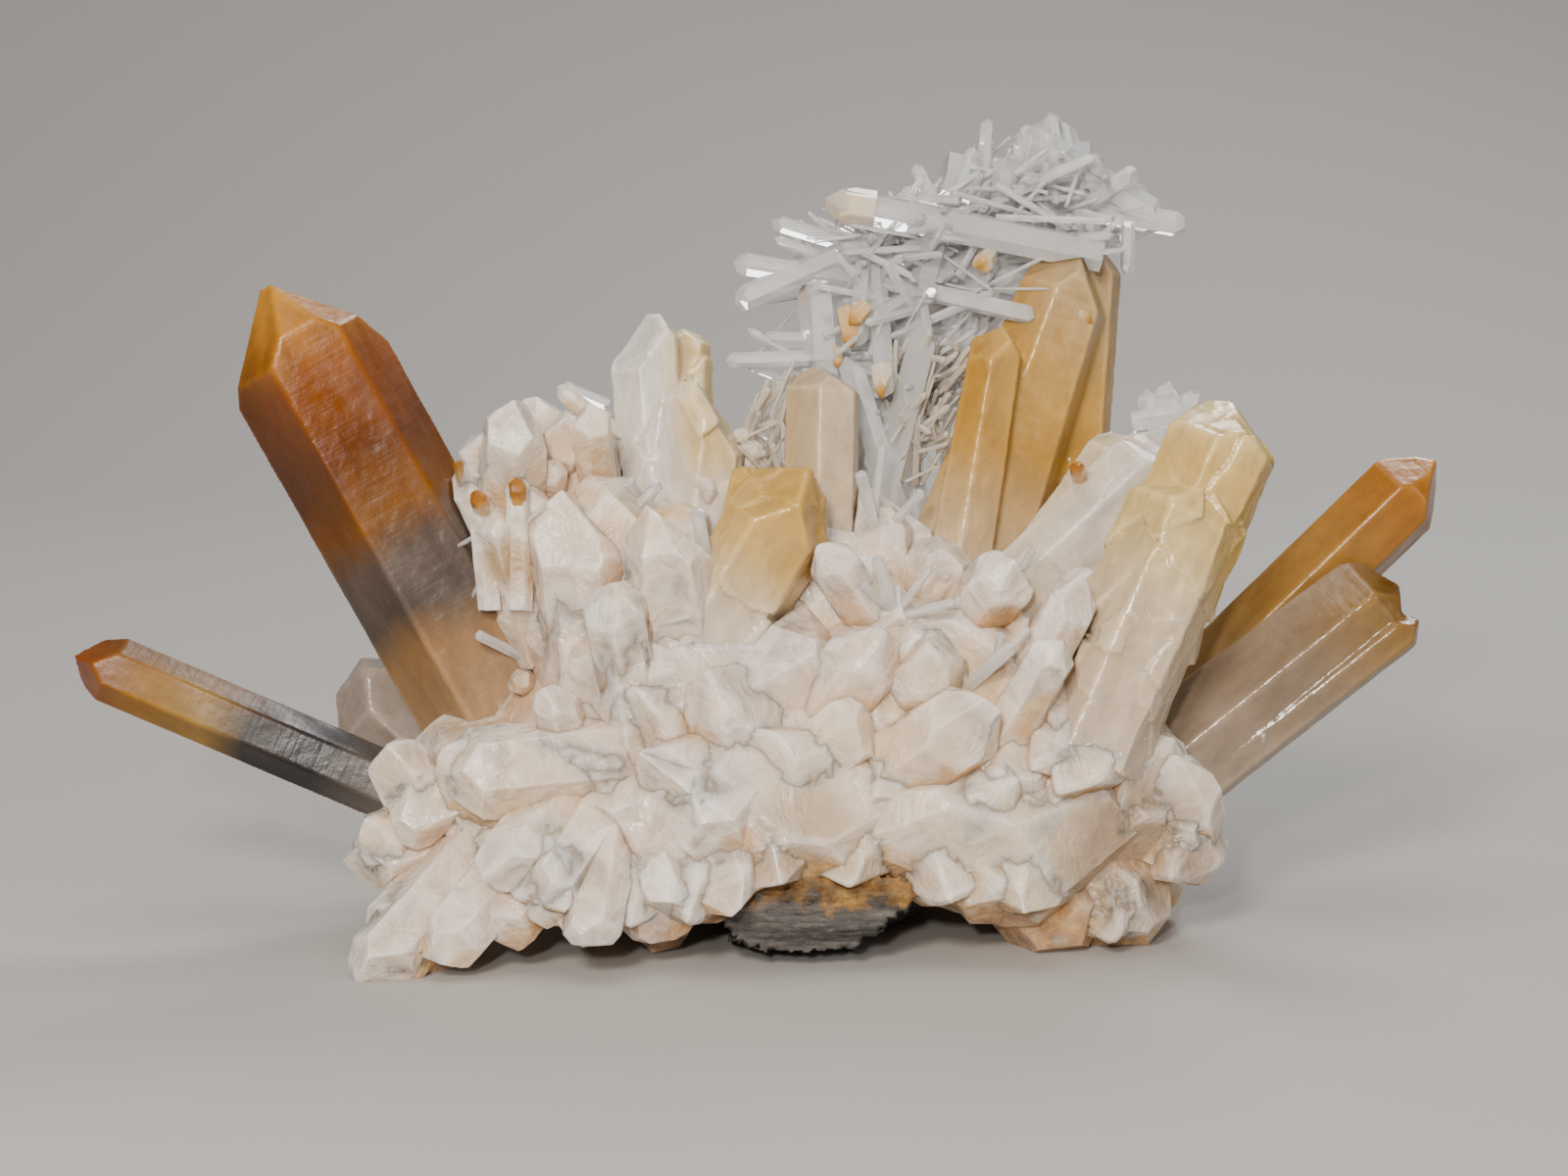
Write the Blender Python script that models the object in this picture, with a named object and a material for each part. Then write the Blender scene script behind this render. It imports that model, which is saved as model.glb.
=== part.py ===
"""A quartz crystal cluster: a milky druse on a scrap of shale, with amber and yellow points and a clear spray."""

import math
import random

import bmesh
import bpy
from mathutils import Vector

MM = 0.001

# Sizes in millimetres. The cluster is about 150 wide, 80 deep and 90 high.
SEAT_GAP = 0.3
FLOOR_DEPTH = 30.0
FLOOR_HALF = 120.0
MASS_FACETS = 24
QUARTZ_TIP_ANGLE = math.radians(51.8)
WORN_TIP_ANGLE = math.radians(34.0)

# Places are given as someone sees them from the front: across from the middle, up from the resting line,
# and away from the viewer. The eye is a little above the cluster and looks slightly down at it.
EYE_DISTANCE = 409.0
EYE_TILT = math.radians(8.0)
MIDDLE_ACROSS = 2.4
MIDDLE_UP = 40.3
MIDDLE_HEIGHT = 37.2
LOOK = Vector((0.0, math.cos(EYE_TILT), -math.sin(EYE_TILT)))
RISE = Vector((0.0, math.sin(EYE_TILT), math.cos(EYE_TILT)))

# The heart that the crystals fan out from, and what the back of the cluster carries.
HEART = Vector((2.0, 6.0, 16.0))
REAR_CRYSTALS = 26
REAR_REACH = (31.0, 42.0)
REAR_WIDTH = (6.0, 11.5)

# Each crystal: where it starts, where it ends, its width, and what sets it apart.
AMBER_POINT_LEFT = [
    ((-25.5, 21.0, 1.0), (-55.0, 73.5, -6.0), 16.4, {"twist": 9, "drops": (0, 0.10, 0.30, 0, 0.22, 0.16)}),
]
AMBER_POINT_LOW = [
    ((-30.0, 13.5, 0.0), (-76.0, 33.0, -3.0), 7.2, {"twist": 4, "drops": (0, 0.3, 0, 0.2, 0, 0.25)}),
]
SMOKY_CRYSTAL_LEFT = [
    ((-27.0, 14.0, 8.0), (-45.5, 31.5, 7.0), 12.5, {"twist": 22, "depth": 0.8, "end": "blunt"}),
]
AMBER_POINT_RIGHT = [
    ((41.5, 22.0, 9.0), (74.8, 54.2, 5.0), 9.6, {"twist": 12, "drops": (0, 0.2, 0, 0.15, 0, 0.1)}),
]
SMOKY_PRISM_RIGHT = [
    ((35.0, 12.5, 2.0), (70.0, 41.0, 0.0), 11.2, {"twist": 17, "taper": 2.4, "end": "worn"}),
    ((40.0, 11.5, -2.0), (72.5, 37.0, -3.0), 4.2, {"twist": 8}),
]
YELLOW_TOP_PRISM = [
    ((37.0, 23.0, -11.0), (53.0, 60.6, -12.0), 12.2, {"twist": 14, "end": "worn"}),
    ((35.2, 21.5, -14.0), (48.5, 52.5, -13.5), 12.4, {"twist": 5, "end": "worn"}),
]
PALE_PRISM = [
    ((10.5, 23.0, -9.0), (46.0, 56.0, -5.0), 10.0, {"twist": 20, "end": "blunt"}),
    ((26.0, 37.0, -4.0), (40.5, 57.0, -1.0), 6.5, {"twist": 8, "end": "blunt"}),
]
GOLDEN_PRISM = [
    ((18.0, 29.0, 6.0), (35.2, 77.2, 6.0), 10.6, {"twist": 16, "taper": 3.4, "end": "blunt"}),
    ((33.0, 30.0, 10.0), (36.4, 78.2, 11.0), 6.8, {"twist": 10, "end": "blunt"}),
    ((19.5, 30.0, 1.0), (26.2, 69.5, -1.0), 6.4, {"twist": 26, "taper": 1.5}),
]
BEIGE_PRISM = [
    ((6.2, 24.0, -3.0), (7.0, 65.0, -3.0), 8.0, {"twist": 22, "end": "worn"}),
]
SQUAT_YELLOW_PRISM = [
    ((-9.0, 29.0, -12.0), (5.5, 53.6, -17.0), 11.4, {"twist": 12, "end": "blunt"}),
    ((-7.0, 31.0, -10.0), (-0.5, 54.0, -12.5), 4.9, {"twist": 24}),
]
WHITE_TOWER = [
    ((-9.0, 28.0, 3.0), (-13.2, 70.6, 2.0), 8.0, {"twist": 18, "drops": (0, 0.1, 0.2, 0.1, 0.4, 0.5)}),
    ((-7.5, 30.0, 6.0), (-8.8, 69.2, 5.0), 6.2, {"twist": 4, "end": "worn"}),
    ((-9.5, 28.0, 1.0), (-5.6, 63.6, -1.0), 9.4, {"twist": 25, "drops": (0.2, 0.6, 0.3, 0, 0, 0)}),
]
CLEAR_CRYSTALS_RIGHT = [
    ((44.5, 52.0, -3.0), (42.3, 62.4, -2.0), 2.2, {"twist": 12}),
    ((44.0, 52.0, -2.0), (45.0, 63.2, -3.0), 3.0, {"twist": 20}),
    ((42.5, 57.5, -3.0), (48.6, 61.8, -2.0), 2.0, {"twist": 5}),
    ((41.0, 58.5, -2.5), (47.5, 59.5, -4.0), 2.4, {"twist": 15, "end": "blunt"}),
]

# Crystals grown into the druse, from the white blocks at its top to the feet at its front.
DRUSE_TOP = [
    ((-17.0, 34.0, -2.0), (-30.5, 57.0, -3.0), 6.6, {"end": "worn"}),
    ((-18.0, 36.0, 1.0), (-28.6, 59.6, 0.0), 6.2, {"twist": 14, "end": "worn"}),
    ((-18.5, 36.0, 3.0), (-25.8, 61.4, 3.0), 6.4, {"twist": 22, "end": "blunt"}),
    ((-16.0, 36.0, 1.0), (-22.3, 59.8, 1.0), 6.4, {"twist": 8, "end": "worn"}),
    ((-14.0, 36.0, 3.0), (-18.8, 61.0, 3.0), 6.0, {"twist": 16, "end": "blunt"}),
    ((-22.0, 30.0, -4.0), (-33.0, 53.5, -4.0), 7.0, {"twist": 24, "end": "blunt"}),
    ((-17.0, 22.0, -7.0), (-18.5, 52.5, -9.0), 15.0, {"twist": 3, "depth": 0.6, "end": "blunt"}),
    ((-9.0, 24.0, -9.0), (-9.5, 50.0, -11.0), 7.4, {"twist": 18, "end": "worn"}),
    ((-24.5, 33.0, -5.0), (-29.2, 49.2, -11.0), 6.0, {"twist": 11, "end": "worn"}),
    ((-27.0, 38.0, -11.0), (-27.0, 52.6, -13.0), 2.2, {"twist": 0}),
    ((-30.0, 38.0, -9.0), (-31.2, 50.6, -10.5), 2.6, {"twist": 20}),
    ((-12.5, 18.0, -15.0), (-16.5, 41.0, -19.5), 6.7, {"twist": 6, "end": "worn"}),
    ((-14.0, 56.0, 1.0), (-22.6, 62.6, -1.0), 1.5, {"twist": 0}),
    ((1.0, 36.0, 4.0), (-2.0, 58.0, 4.0), 5.0, {"twist": 13, "end": "blunt"}),
    ((13.0, 24.0, -4.0), (13.5, 49.5, -5.0), 6.0, {"twist": 17, "end": "blunt"}),
    ((17.0, 26.0, -6.0), (20.0, 46.0, -8.0), 6.6, {"twist": 7, "end": "worn"}),
    ((0.0, 28.0, -6.0), (12.0, 44.0, -10.0), 5.4, {"twist": 21}),
    ((10.5, 20.0, -10.0), (15.0, 40.5, -14.0), 6.5, {"twist": 15}),
    ((7.0, 22.0, -12.0), (19.5, 36.2, -16.0), 6.0, {"twist": 3, "end": "worn"}),
    ((21.0, 18.0, -10.0), (17.5, 35.4, -15.0), 9.7, {"twist": 19, "end": "worn"}),
    ((26.0, 22.0, -6.0), (26.0, 40.0, -10.0), 8.0, {"twist": 9, "end": "worn"}),
]
DRUSE_FRONT = [
    ((-22.0, 22.0, -9.0), (-41.5, 15.0, -17.0), 7.4, {"end": "worn"}),
    ((-12.0, 22.0, -14.0), (-35.0, 19.5, -21.0), 8.7, {"twist": 10, "end": "worn"}),
    ((-24.0, 15.0, -10.0), (-46.3, 9.6, -13.0), 6.4, {"twist": 20}),
    ((-25.0, 16.0, -9.0), (-42.0, -1.5, -19.0), 10.3, {"twist": 5, "end": "worn"}),
    ((-27.0, 15.0, -12.0), (-44.4, -4.0, -24.0), 7.8, {"twist": 14}),
    ((-24.0, 14.0, -14.0), (-36.5, -1.0, -24.5), 6.8, {"twist": 26, "end": "blunt"}),
    ((-19.0, 18.0, -14.0), (-30.5, 8.5, -26.0), 6.0, {"twist": 0, "end": "blunt"}),
    ((-18.0, 17.0, -12.0), (-30.0, 1.5, -22.0), 6.9, {"twist": 18, "end": "worn"}),
    ((-15.0, 19.0, -13.0), (-25.0, 4.5, -25.0), 7.6, {"twist": 7, "end": "worn"}),
    ((-16.0, 20.0, -15.0), (-19.0, 0.5, -26.0), 5.6, {"twist": 12, "end": "worn"}),
    ((-8.0, 18.0, -10.0), (-13.5, 1.0, -19.5), 9.2, {"twist": 21, "end": "blunt"}),
    ((-8.0, 15.0, -6.0), (-12.0, 0.0, -12.5), 6.6, {"twist": 3}),
    ((-15.0, 20.0, -15.0), (-8.5, 3.2, -22.0), 6.6, {"twist": 16, "end": "worn"}),
    ((2.0, 25.0, -13.0), (-8.5, 11.5, -24.0), 9.7, {"twist": 9, "end": "worn"}),
    ((22.0, 20.0, -6.0), (49.5, 11.5, -8.0), 9.0, {"twist": 15, "end": "worn"}),
    ((20.0, 20.0, -6.0), (44.0, 2.6, -9.0), 10.8, {"twist": 4, "end": "blunt"}),
    ((18.0, 22.0, -7.0), (36.0, 1.0, -8.0), 13.0, {"twist": 12, "end": "worn"}),
    ((14.0, 20.0, -8.0), (28.5, 4.5, -17.5), 9.7, {"twist": 22, "end": "worn"}),
    ((32.0, 33.5, -10.0), (11.5, 16.0, -20.0), 6.5, {"twist": 8, "depth": 0.6}),
    ((10.0, 12.5, -12.0), (25.5, 25.5, -20.0), 6.5, {"twist": 24, "depth": 0.6}),
    ((31.5, 26.0, -11.0), (25.5, 16.0, -20.0), 7.8, {"twist": 2, "end": "worn"}),
    ((-5.0, 11.0, -14.0), (11.5, 26.5, -20.5), 7.0, {"twist": 17, "depth": 0.6, "end": "worn"}),
    ((4.0, 17.0, -12.0), (3.0, 8.0, -19.0), 9.0, {"twist": 11, "end": "worn"}),
    ((12.0, 18.0, -10.0), (16.0, 7.5, -17.0), 9.0, {"twist": 27, "end": "worn"}),
]

# The spray: slender prisms first, then the needles that stand out of it.
SPRAY_STEM = [
    ((12.0, 40.0, 8.0), (21.0, 82.0, 14.0), 5.0, {"twist": 10}),
    ((17.0, 44.0, 9.0), (12.5, 78.5, 9.0), 4.4, {"twist": 20}),
    ((11.0, 46.0, 5.0), (19.5, 80.0, 8.0), 3.6, {"twist": 4}),
    ((14.0, 58.0, 10.0), (36.5, 88.5, 14.0), 6.0, {"twist": 14}),
    ((6.0, 71.0, 8.0), (38.0, 88.0, 15.0), 4.4, {"twist": 8}),
    ((22.0, 74.0, 12.0), (33.0, 92.0, 13.0), 5.2, {"twist": 23}),
    ((30.5, 89.0, 12.0), (44.5, 80.5, 13.0), 3.6, {"twist": 12}),
    ((8.5, 46.0, 6.0), (6.0, 75.0, 6.0), 4.4, {"twist": 7}),
    ((13.0, 50.0, 8.0), (9.0, 77.0, 8.0), 5.0, {"twist": 18}),
    ((22.0, 46.0, 12.0), (24.0, 80.0, 13.0), 5.4, {"twist": 3}),
    ((12.0, 44.0, 5.0), (18.5, 69.5, 2.5), 3.4, {"twist": 12}),
    ((15.5, 47.0, 4.0), (9.5, 66.0, 2.5), 3.0, {"twist": 24}),
    ((30.0, 79.5, 14.0), (36.5, 89.5, 13.0), 5.0, {"twist": 15}),
    ((37.0, 74.5, 10.0), (32.5, 92.3, 15.0), 3.6, {"twist": 2}),
    ((20.0, 86.0, 16.0), (44.0, 80.0, 19.0), 5.4, {"twist": 18}),
    ((8.0, 76.0, 12.0), (40.0, 79.5, 18.0), 5.0, {"twist": 6}),
]
SPRAY_NEEDLES = [
    ((37.5, 77.0, 5.0), (6.8, 83.2, 4.0), 3.5, {"twist": 12, "end": "blunt"}),
    ((15.0, 76.5, 8.0), (1.0, 80.8, 5.0), 1.8, {"twist": 8}),
    ((12.0, 74.0, 7.0), (-3.2, 76.4, 3.0), 2.8, {"twist": 16, "end": "blunt"}),
    ((16.0, 80.5, 8.0), (-3.2, 71.8, 2.0), 2.6, {"twist": 4}),
    ((12.0, 77.5, 8.0), (4.0, 71.8, 6.0), 1.6, {"twist": 20}),
    ((24.0, 80.0, 12.0), (25.0, 92.2, 10.0), 1.6, {"twist": 10}),
    ((20.0, 80.0, 12.0), (23.6, 89.2, 13.0), 1.5, {"twist": 2}),
    ((20.5, 80.0, 11.0), (16.8, 87.2, 9.0), 1.5, {"twist": 14}),
    ((33.5, 84.0, 12.0), (31.8, 93.0, 11.0), 1.8, {"twist": 6}),
    ((37.0, 82.0, 13.0), (46.8, 80.3, 12.0), 2.8, {"twist": 22, "end": "blunt"}),
    ((40.5, 84.5, 13.0), (40.3, 74.8, 11.0), 1.5, {"twist": 12}),
    ((14.0, 66.0, 7.0), (-4.0, 65.4, 1.0), 1.7, {"twist": 3}),
    ((14.0, 67.5, 8.0), (-0.2, 67.9, 5.0), 2.0, {"twist": 17, "end": "blunt"}),
    ((13.0, 58.0, 7.0), (0.8, 63.2, 3.0), 1.5, {"twist": 9}),
    ((11.5, 80.0, 9.0), (10.3, 67.0, 2.0), 2.4, {"twist": 5}),
    ((12.6, 76.0, 7.0), (13.5, 61.4, 0.5), 2.2, {"twist": 19}),
    ((12.0, 74.4, 7.0), (30.5, 70.2, 1.5), 2.0, {"twist": 13}),
    ((27.0, 79.5, 12.0), (12.0, 69.8, 3.0), 2.0, {"twist": 7}),
    ((10.0, 72.0, 9.0), (22.0, 82.0, 4.0), 2.4, {"twist": 15}),
    ((26.0, 76.0, 12.0), (27.0, 88.0, 5.0), 2.6, {"twist": 1}),
    ((35.0, 82.0, 12.0), (41.5, 86.5, 7.0), 2.0, {"twist": 11}),
    ((30.0, 86.0, 14.0), (29.0, 91.0, 22.0), 2.4, {"twist": 5}),
    ((24.0, 80.0, 14.0), (18.0, 84.0, 27.0), 3.0, {"twist": 17}),
    ((28.0, 80.0, 14.0), (34.0, 78.0, 29.0), 3.2, {"twist": 9}),
    ((20.0, 74.0, 12.0), (12.0, 68.0, 25.0), 2.8, {"twist": 14}),
    ((34.0, 84.0, 14.0), (42.0, 84.0, 25.0), 2.6, {"twist": 3}),
]

# The milky mass under the crystals, as centre and half sizes.
MASSES = [
    ((-14.0, 1.0, 18.0), (25.0, 22.0, 12.5)),
    ((19.0, 1.0, 19.0), (26.0, 22.0, 13.0)),
    ((4.0, 4.0, 32.0), (21.0, 17.0, 15.0)),
    ((-17.0, -1.0, 34.0), (14.0, 11.0, 15.0)),
    ((-24.0, 1.5, 46.0), (7.5, 7.0, 8.5)),
    ((-6.0, -9.0, 28.0), (18.0, 12.0, 12.0)),
    ((16.0, -7.0, 27.0), (18.0, 13.0, 12.0)),
    ((30.0, 2.0, 27.0), (14.0, 14.0, 12.0)),
    ((-25.0, -8.0, 15.5), (15.0, 14.0, 10.0)),
    ((-2.0, -15.0, 15.5), (21.0, 12.5, 9.6)),
    ((21.0, -12.0, 14.0), (20.0, 14.0, 8.6)),
    ((34.0, -4.0, 13.0), (16.0, 15.0, 9.5)),
    ((0.0, 19.0, 13.0), (31.0, 13.5, 15.5)),
    ((8.0, 17.0, 24.0), (17.0, 11.0, 13.0)),
    ((37.5, -2.0, 6.0), (10.0, 8.0, 8.5)),
]

# The shale's beds, from the lowest up: centre, half sizes, and how far each is turned.
SHALE_BEDS = [
    ((6.0, 2.0, 1.0), (9.5, 13.0, 1.6), 10.0),
    ((5.6, 1.6, 2.9), (11.4, 14.4, 1.7), 35.0),
    ((6.4, 1.8, 5.0), (10.6, 13.8, 1.9), 62.0),
    ((6.0, 2.4, 7.4), (8.8, 12.4, 2.0), 20.0),
]

MATERIALS = {
    "milky quartz": ((0.66, 0.60, 0.54, 1.0), 0.35),
    "amber quartz": ((0.55, 0.22, 0.05, 1.0), 0.25),
    "yellow quartz": ((0.60, 0.40, 0.14, 1.0), 0.30),
    "smoky quartz": ((0.33, 0.29, 0.25, 1.0), 0.20),
    "clear quartz": ((0.74, 0.74, 0.73, 1.0), 0.05),
    "shale": ((0.09, 0.09, 0.09, 1.0), 0.85),
}


def seen(across, up, away):
    """The point, in millimetres, that looks to be at this place from the front."""
    spread = (EYE_DISTANCE + away) / EYE_DISTANCE
    side = Vector((1.0, 0.0, 0.0)) * (across - MIDDLE_ACROSS) * spread
    rise = RISE * (up - MIDDLE_UP) * spread
    return Vector((MIDDLE_ACROSS, 0.0, MIDDLE_HEIGHT)) + side + rise + LOOK * away


def tip_planes(finish, frame, width, angles, end, drops, chance):
    """The faces that close a crystal's tip: a pyramid, a worn dome, or a break across it."""
    side, back, along = frame
    lean = WORN_TIP_ANGLE if end == "worn" else QUARTZ_TIP_ANGLE
    planes = []
    for index, angle in enumerate(angles):
        out = side * math.cos(angle) + back * math.sin(angle)
        normal = out * math.sin(lean) + along * math.cos(lean)
        drop = drops[index] if drops else (index % 2) * chance.uniform(0.1, 0.4)
        if end == "blunt":
            drop -= 0.28
        planes.append((finish - along * drop * width, normal))
    if end == "worn":
        for angle in angles[::2]:
            out = side * math.cos(angle) + back * math.sin(angle)
            planes.append((finish + out * width * 0.36 - along * width * 0.36, out * 0.86 + along * 0.5))
    if end == "blunt":
        turn = chance.uniform(0.0, 2.0 * math.pi)
        out = side * math.cos(turn) + back * math.sin(turn)
        planes.append((finish - along * width * 0.04, (along + out * 0.22).normalized()))
    return planes


def crystal(start, finish, width, twist=0.0, depth=1.0, taper=0.0, end="point", drops=None):
    """The planes that bound a six-sided prism with its tip, one face turned to the front at no twist."""
    chance = random.Random(f"{start.x:.2f} {start.z:.2f} {finish.x:.2f} {width:.2f}")
    along = (finish - start).normalized()
    back = (LOOK - along * LOOK.dot(along)).normalized()
    side = back.cross(along)
    angles = [math.radians(twist - 90 + 60 * k) for k in range(6)]
    narrowing = math.radians(taper)
    planes = [(start, -along)]
    for angle in angles:
        out = side * math.cos(angle) + back * math.sin(angle)
        reach = width / 2.12 * math.hypot(math.cos(angle), depth * math.sin(angle)) * chance.uniform(0.92, 1.06)
        normal = out * math.cos(narrowing) + along * math.sin(narrowing)
        planes.append((finish - along * width + out * reach, normal))
    tip = tip_planes(finish, (side, back, along), width, angles, end, drops, chance)
    corners, faces = bounded(planes + tip)
    short = along.dot(finish) - max(along.dot(corner) for corner in corners)
    return planes + [(point + along * short, normal) for point, normal in tip]


def grown(rows):
    """The crystals of a table, each as its bounding planes."""
    return [crystal(seen(*root), seen(*tip), width, **more) for root, tip, width, more in rows]


def mass(centre, half_sizes):
    """The planes of an irregular lump of the given half sizes."""
    chance = random.Random(f"{centre} {half_sizes}")
    middle = Vector(centre)
    turn = chance.uniform(0.0, 2.0 * math.pi)
    planes = []
    for index in range(MASS_FACETS):
        height = 1.0 - 2.0 * (index + 0.5) / MASS_FACETS
        angle = turn + index * math.pi * (3.0 - math.sqrt(5.0)) + chance.uniform(-0.15, 0.15)
        ring = math.sqrt(1.0 - height * height)
        normal = Vector((ring * math.cos(angle), ring * math.sin(angle), height))
        reach = math.sqrt(sum((normal[i] * half_sizes[i]) ** 2 for i in range(3)))
        planes.append((middle + normal * reach * chance.uniform(0.86, 1.0), normal))
    return planes


def bed(centre, half_sizes, turn):
    """The planes of one bed of shale: a flat plate with a broken outline."""
    chance = random.Random(f"{centre} {turn}")
    middle = Vector(centre)
    up = Vector((0.0, 0.0, 1.0))
    planes = [(middle + up * half_sizes[2], up), (middle - up * half_sizes[2], -up)]
    sides = 11
    for index in range(sides):
        angle = math.radians(turn) + 2.0 * math.pi * index / sides + chance.uniform(-0.14, 0.14)
        out = Vector((math.cos(angle), math.sin(angle), 0.0))
        reach = math.hypot(half_sizes[0] * out.x, half_sizes[1] * out.y) * chance.uniform(0.86, 1.04)
        lean = chance.uniform(-0.22, 0.22)
        planes.append((middle + out * reach, (out + up * lean).normalized()))
    return planes


def rear_crystals():
    """Crystals that fan out of the back and the flanks, lower towards the sides."""
    chance = random.Random(11)
    found = []
    for index in range(REAR_CRYSTALS):
        share = (index + 0.5) / REAR_CRYSTALS
        heading = math.radians(8.0 + 164.0 * ((index * 0.618) % 1.0))
        climb = math.radians(-6.0 + 62.0 * share) * (0.35 + 0.65 * math.sin(heading))
        way = Vector((math.cos(heading) * math.cos(climb), math.sin(heading) * math.cos(climb), math.sin(climb)))
        reach = chance.uniform(*REAR_REACH)
        width = chance.uniform(*REAR_WIDTH) * (1.15 - 0.5 * share)
        end = chance.choice(["point", "point", "worn", "blunt"])
        found.append(
            crystal(HEART + way * 8.0, HEART + way * reach, width, twist=chance.uniform(0, 60), end=end)
        )
    return found


def bounded(planes, gap=0.0):
    """The corners and faces of the convex body inside these planes, each moved out by the gap."""
    body = bmesh.new()
    bmesh.ops.create_cube(body, size=2.0 * FLOOR_HALF)
    bmesh.ops.translate(body, verts=body.verts, vec=planes[0][0])
    for point, normal in planes:
        cut = bmesh.ops.bisect_plane(
            body,
            geom=body.verts[:] + body.edges[:] + body.faces[:],
            dist=1e-5,
            plane_co=point + normal * gap,
            plane_no=normal,
            clear_outer=True,
        )["geom_cut"]
        rim = [item for item in cut if isinstance(item, bmesh.types.BMEdge)]
        if len(rim) > 2:
            bmesh.ops.contextual_create(body, geom=rim)
    bmesh.ops.remove_doubles(body, verts=body.verts, dist=0.01)
    bmesh.ops.recalc_face_normals(body, faces=body.faces)
    body.verts.index_update()
    corners = [vert.co.copy() for vert in body.verts]
    faces = [[vert.index for vert in face.verts] for face in body.faces]
    body.free()
    return corners, faces


def gathered(name, bodies, gap=0.0):
    """One object that holds every body, still overlapping, in metres."""
    corners = []
    faces = []
    for planes in bodies:
        more_corners, more_faces = bounded(planes, gap)
        faces += [[index + len(corners) for index in face] for face in more_faces]
        corners += [corner * MM for corner in more_corners]
    mesh = bpy.data.meshes.new(name)
    mesh.from_pydata(corners, [], faces)
    found = bpy.data.objects.new(name, mesh)
    bpy.context.scene.collection.objects.link(found)
    return found


def floor_slab():
    """What lies under the resting line. The feet end flat on it."""
    up = Vector((0.0, 0.0, 1.0))
    low = up * -FLOOR_DEPTH
    planes = [(low, -up), (Vector(), up)]
    for index in range(4):
        out = Vector((math.cos(index * math.pi / 2), math.sin(index * math.pi / 2), 0.0))
        planes.append((out * FLOOR_HALF * 0.9, out))
    return planes


def joined(target, operation, other):
    """The target after an exact Boolean with the other object, which is then removed."""
    step = target.modifiers.new(operation.lower(), "BOOLEAN")
    step.operation = operation
    step.solver = "EXACT"
    step.use_self = True
    step.object = other
    graph = bpy.context.evaluated_depsgraph_get()
    made = bpy.data.meshes.new_from_object(target.evaluated_get(graph))
    target.modifiers.clear()
    target.data = made
    bpy.data.objects.remove(other)


def keep_largest(target):
    """Drops the chips that a socket cuts loose."""
    body = bmesh.new()
    body.from_mesh(target.data)
    left = set(body.verts)
    shells = []
    while left:
        shell = {left.pop()}
        edge_of = set(shell)
        while edge_of:
            near = {edge.other_vert(vert) for vert in edge_of for edge in vert.link_edges} - shell
            shell |= near
            edge_of = near
        left -= shell
        shells.append(shell)
    shells.sort(key=len)
    for shell in shells[:-1]:
        bmesh.ops.delete(body, geom=list(shell), context="VERTS")
    body.to_mesh(target.data)
    body.free()


def material(name):
    colour, roughness = MATERIALS[name]
    found = bpy.data.materials.get(name)
    if found is None:
        found = bpy.data.materials.new(name)
        found.use_nodes = True
        shader = found.node_tree.nodes["Principled BSDF"]
        shader.inputs["Base Color"].default_value = colour
        shader.inputs["Roughness"].default_value = roughness
        shader.inputs["Metallic"].default_value = 0.0
        found.diffuse_color = colour
    return found


def make_node(name, bodies, neighbours, finish, origin):
    """One named solid: its bodies grown into each other, with a seat left round every neighbour."""
    found = gathered(name, bodies[:1])
    if len(bodies) > 1:
        joined(found, "UNION", gathered(name + "_rest", bodies[1:]))
    if neighbours:
        joined(found, "DIFFERENCE", gathered(name + "_seats", neighbours, SEAT_GAP))
    if finish != "clear quartz":
        joined(found, "DIFFERENCE", gathered(name + "_floor", [floor_slab()]))
    keep_largest(found)
    found.data.materials.clear()
    found.data.materials.append(material(finish))
    for vert in found.data.vertices:
        vert.co -= origin * MM
    found.location = origin * MM
    return found


def stand_on_middle(nodes):
    """Hangs every node on one empty, moved so that the cluster stands on the middle of its own footprint."""
    corners = [node.location + vert.co for node in nodes for vert in node.data.vertices]
    holder = bpy.data.objects.new("quartz_cluster", None)
    bpy.context.scene.collection.objects.link(holder)
    for node in nodes:
        node.parent = holder
    middle_x = (min(c.x for c in corners) + max(c.x for c in corners)) / 2.0
    middle_y = (min(c.y for c in corners) + max(c.y for c in corners)) / 2.0
    holder.location = (-middle_x, -middle_y, -min(c.z for c in corners))
    return holder


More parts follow.
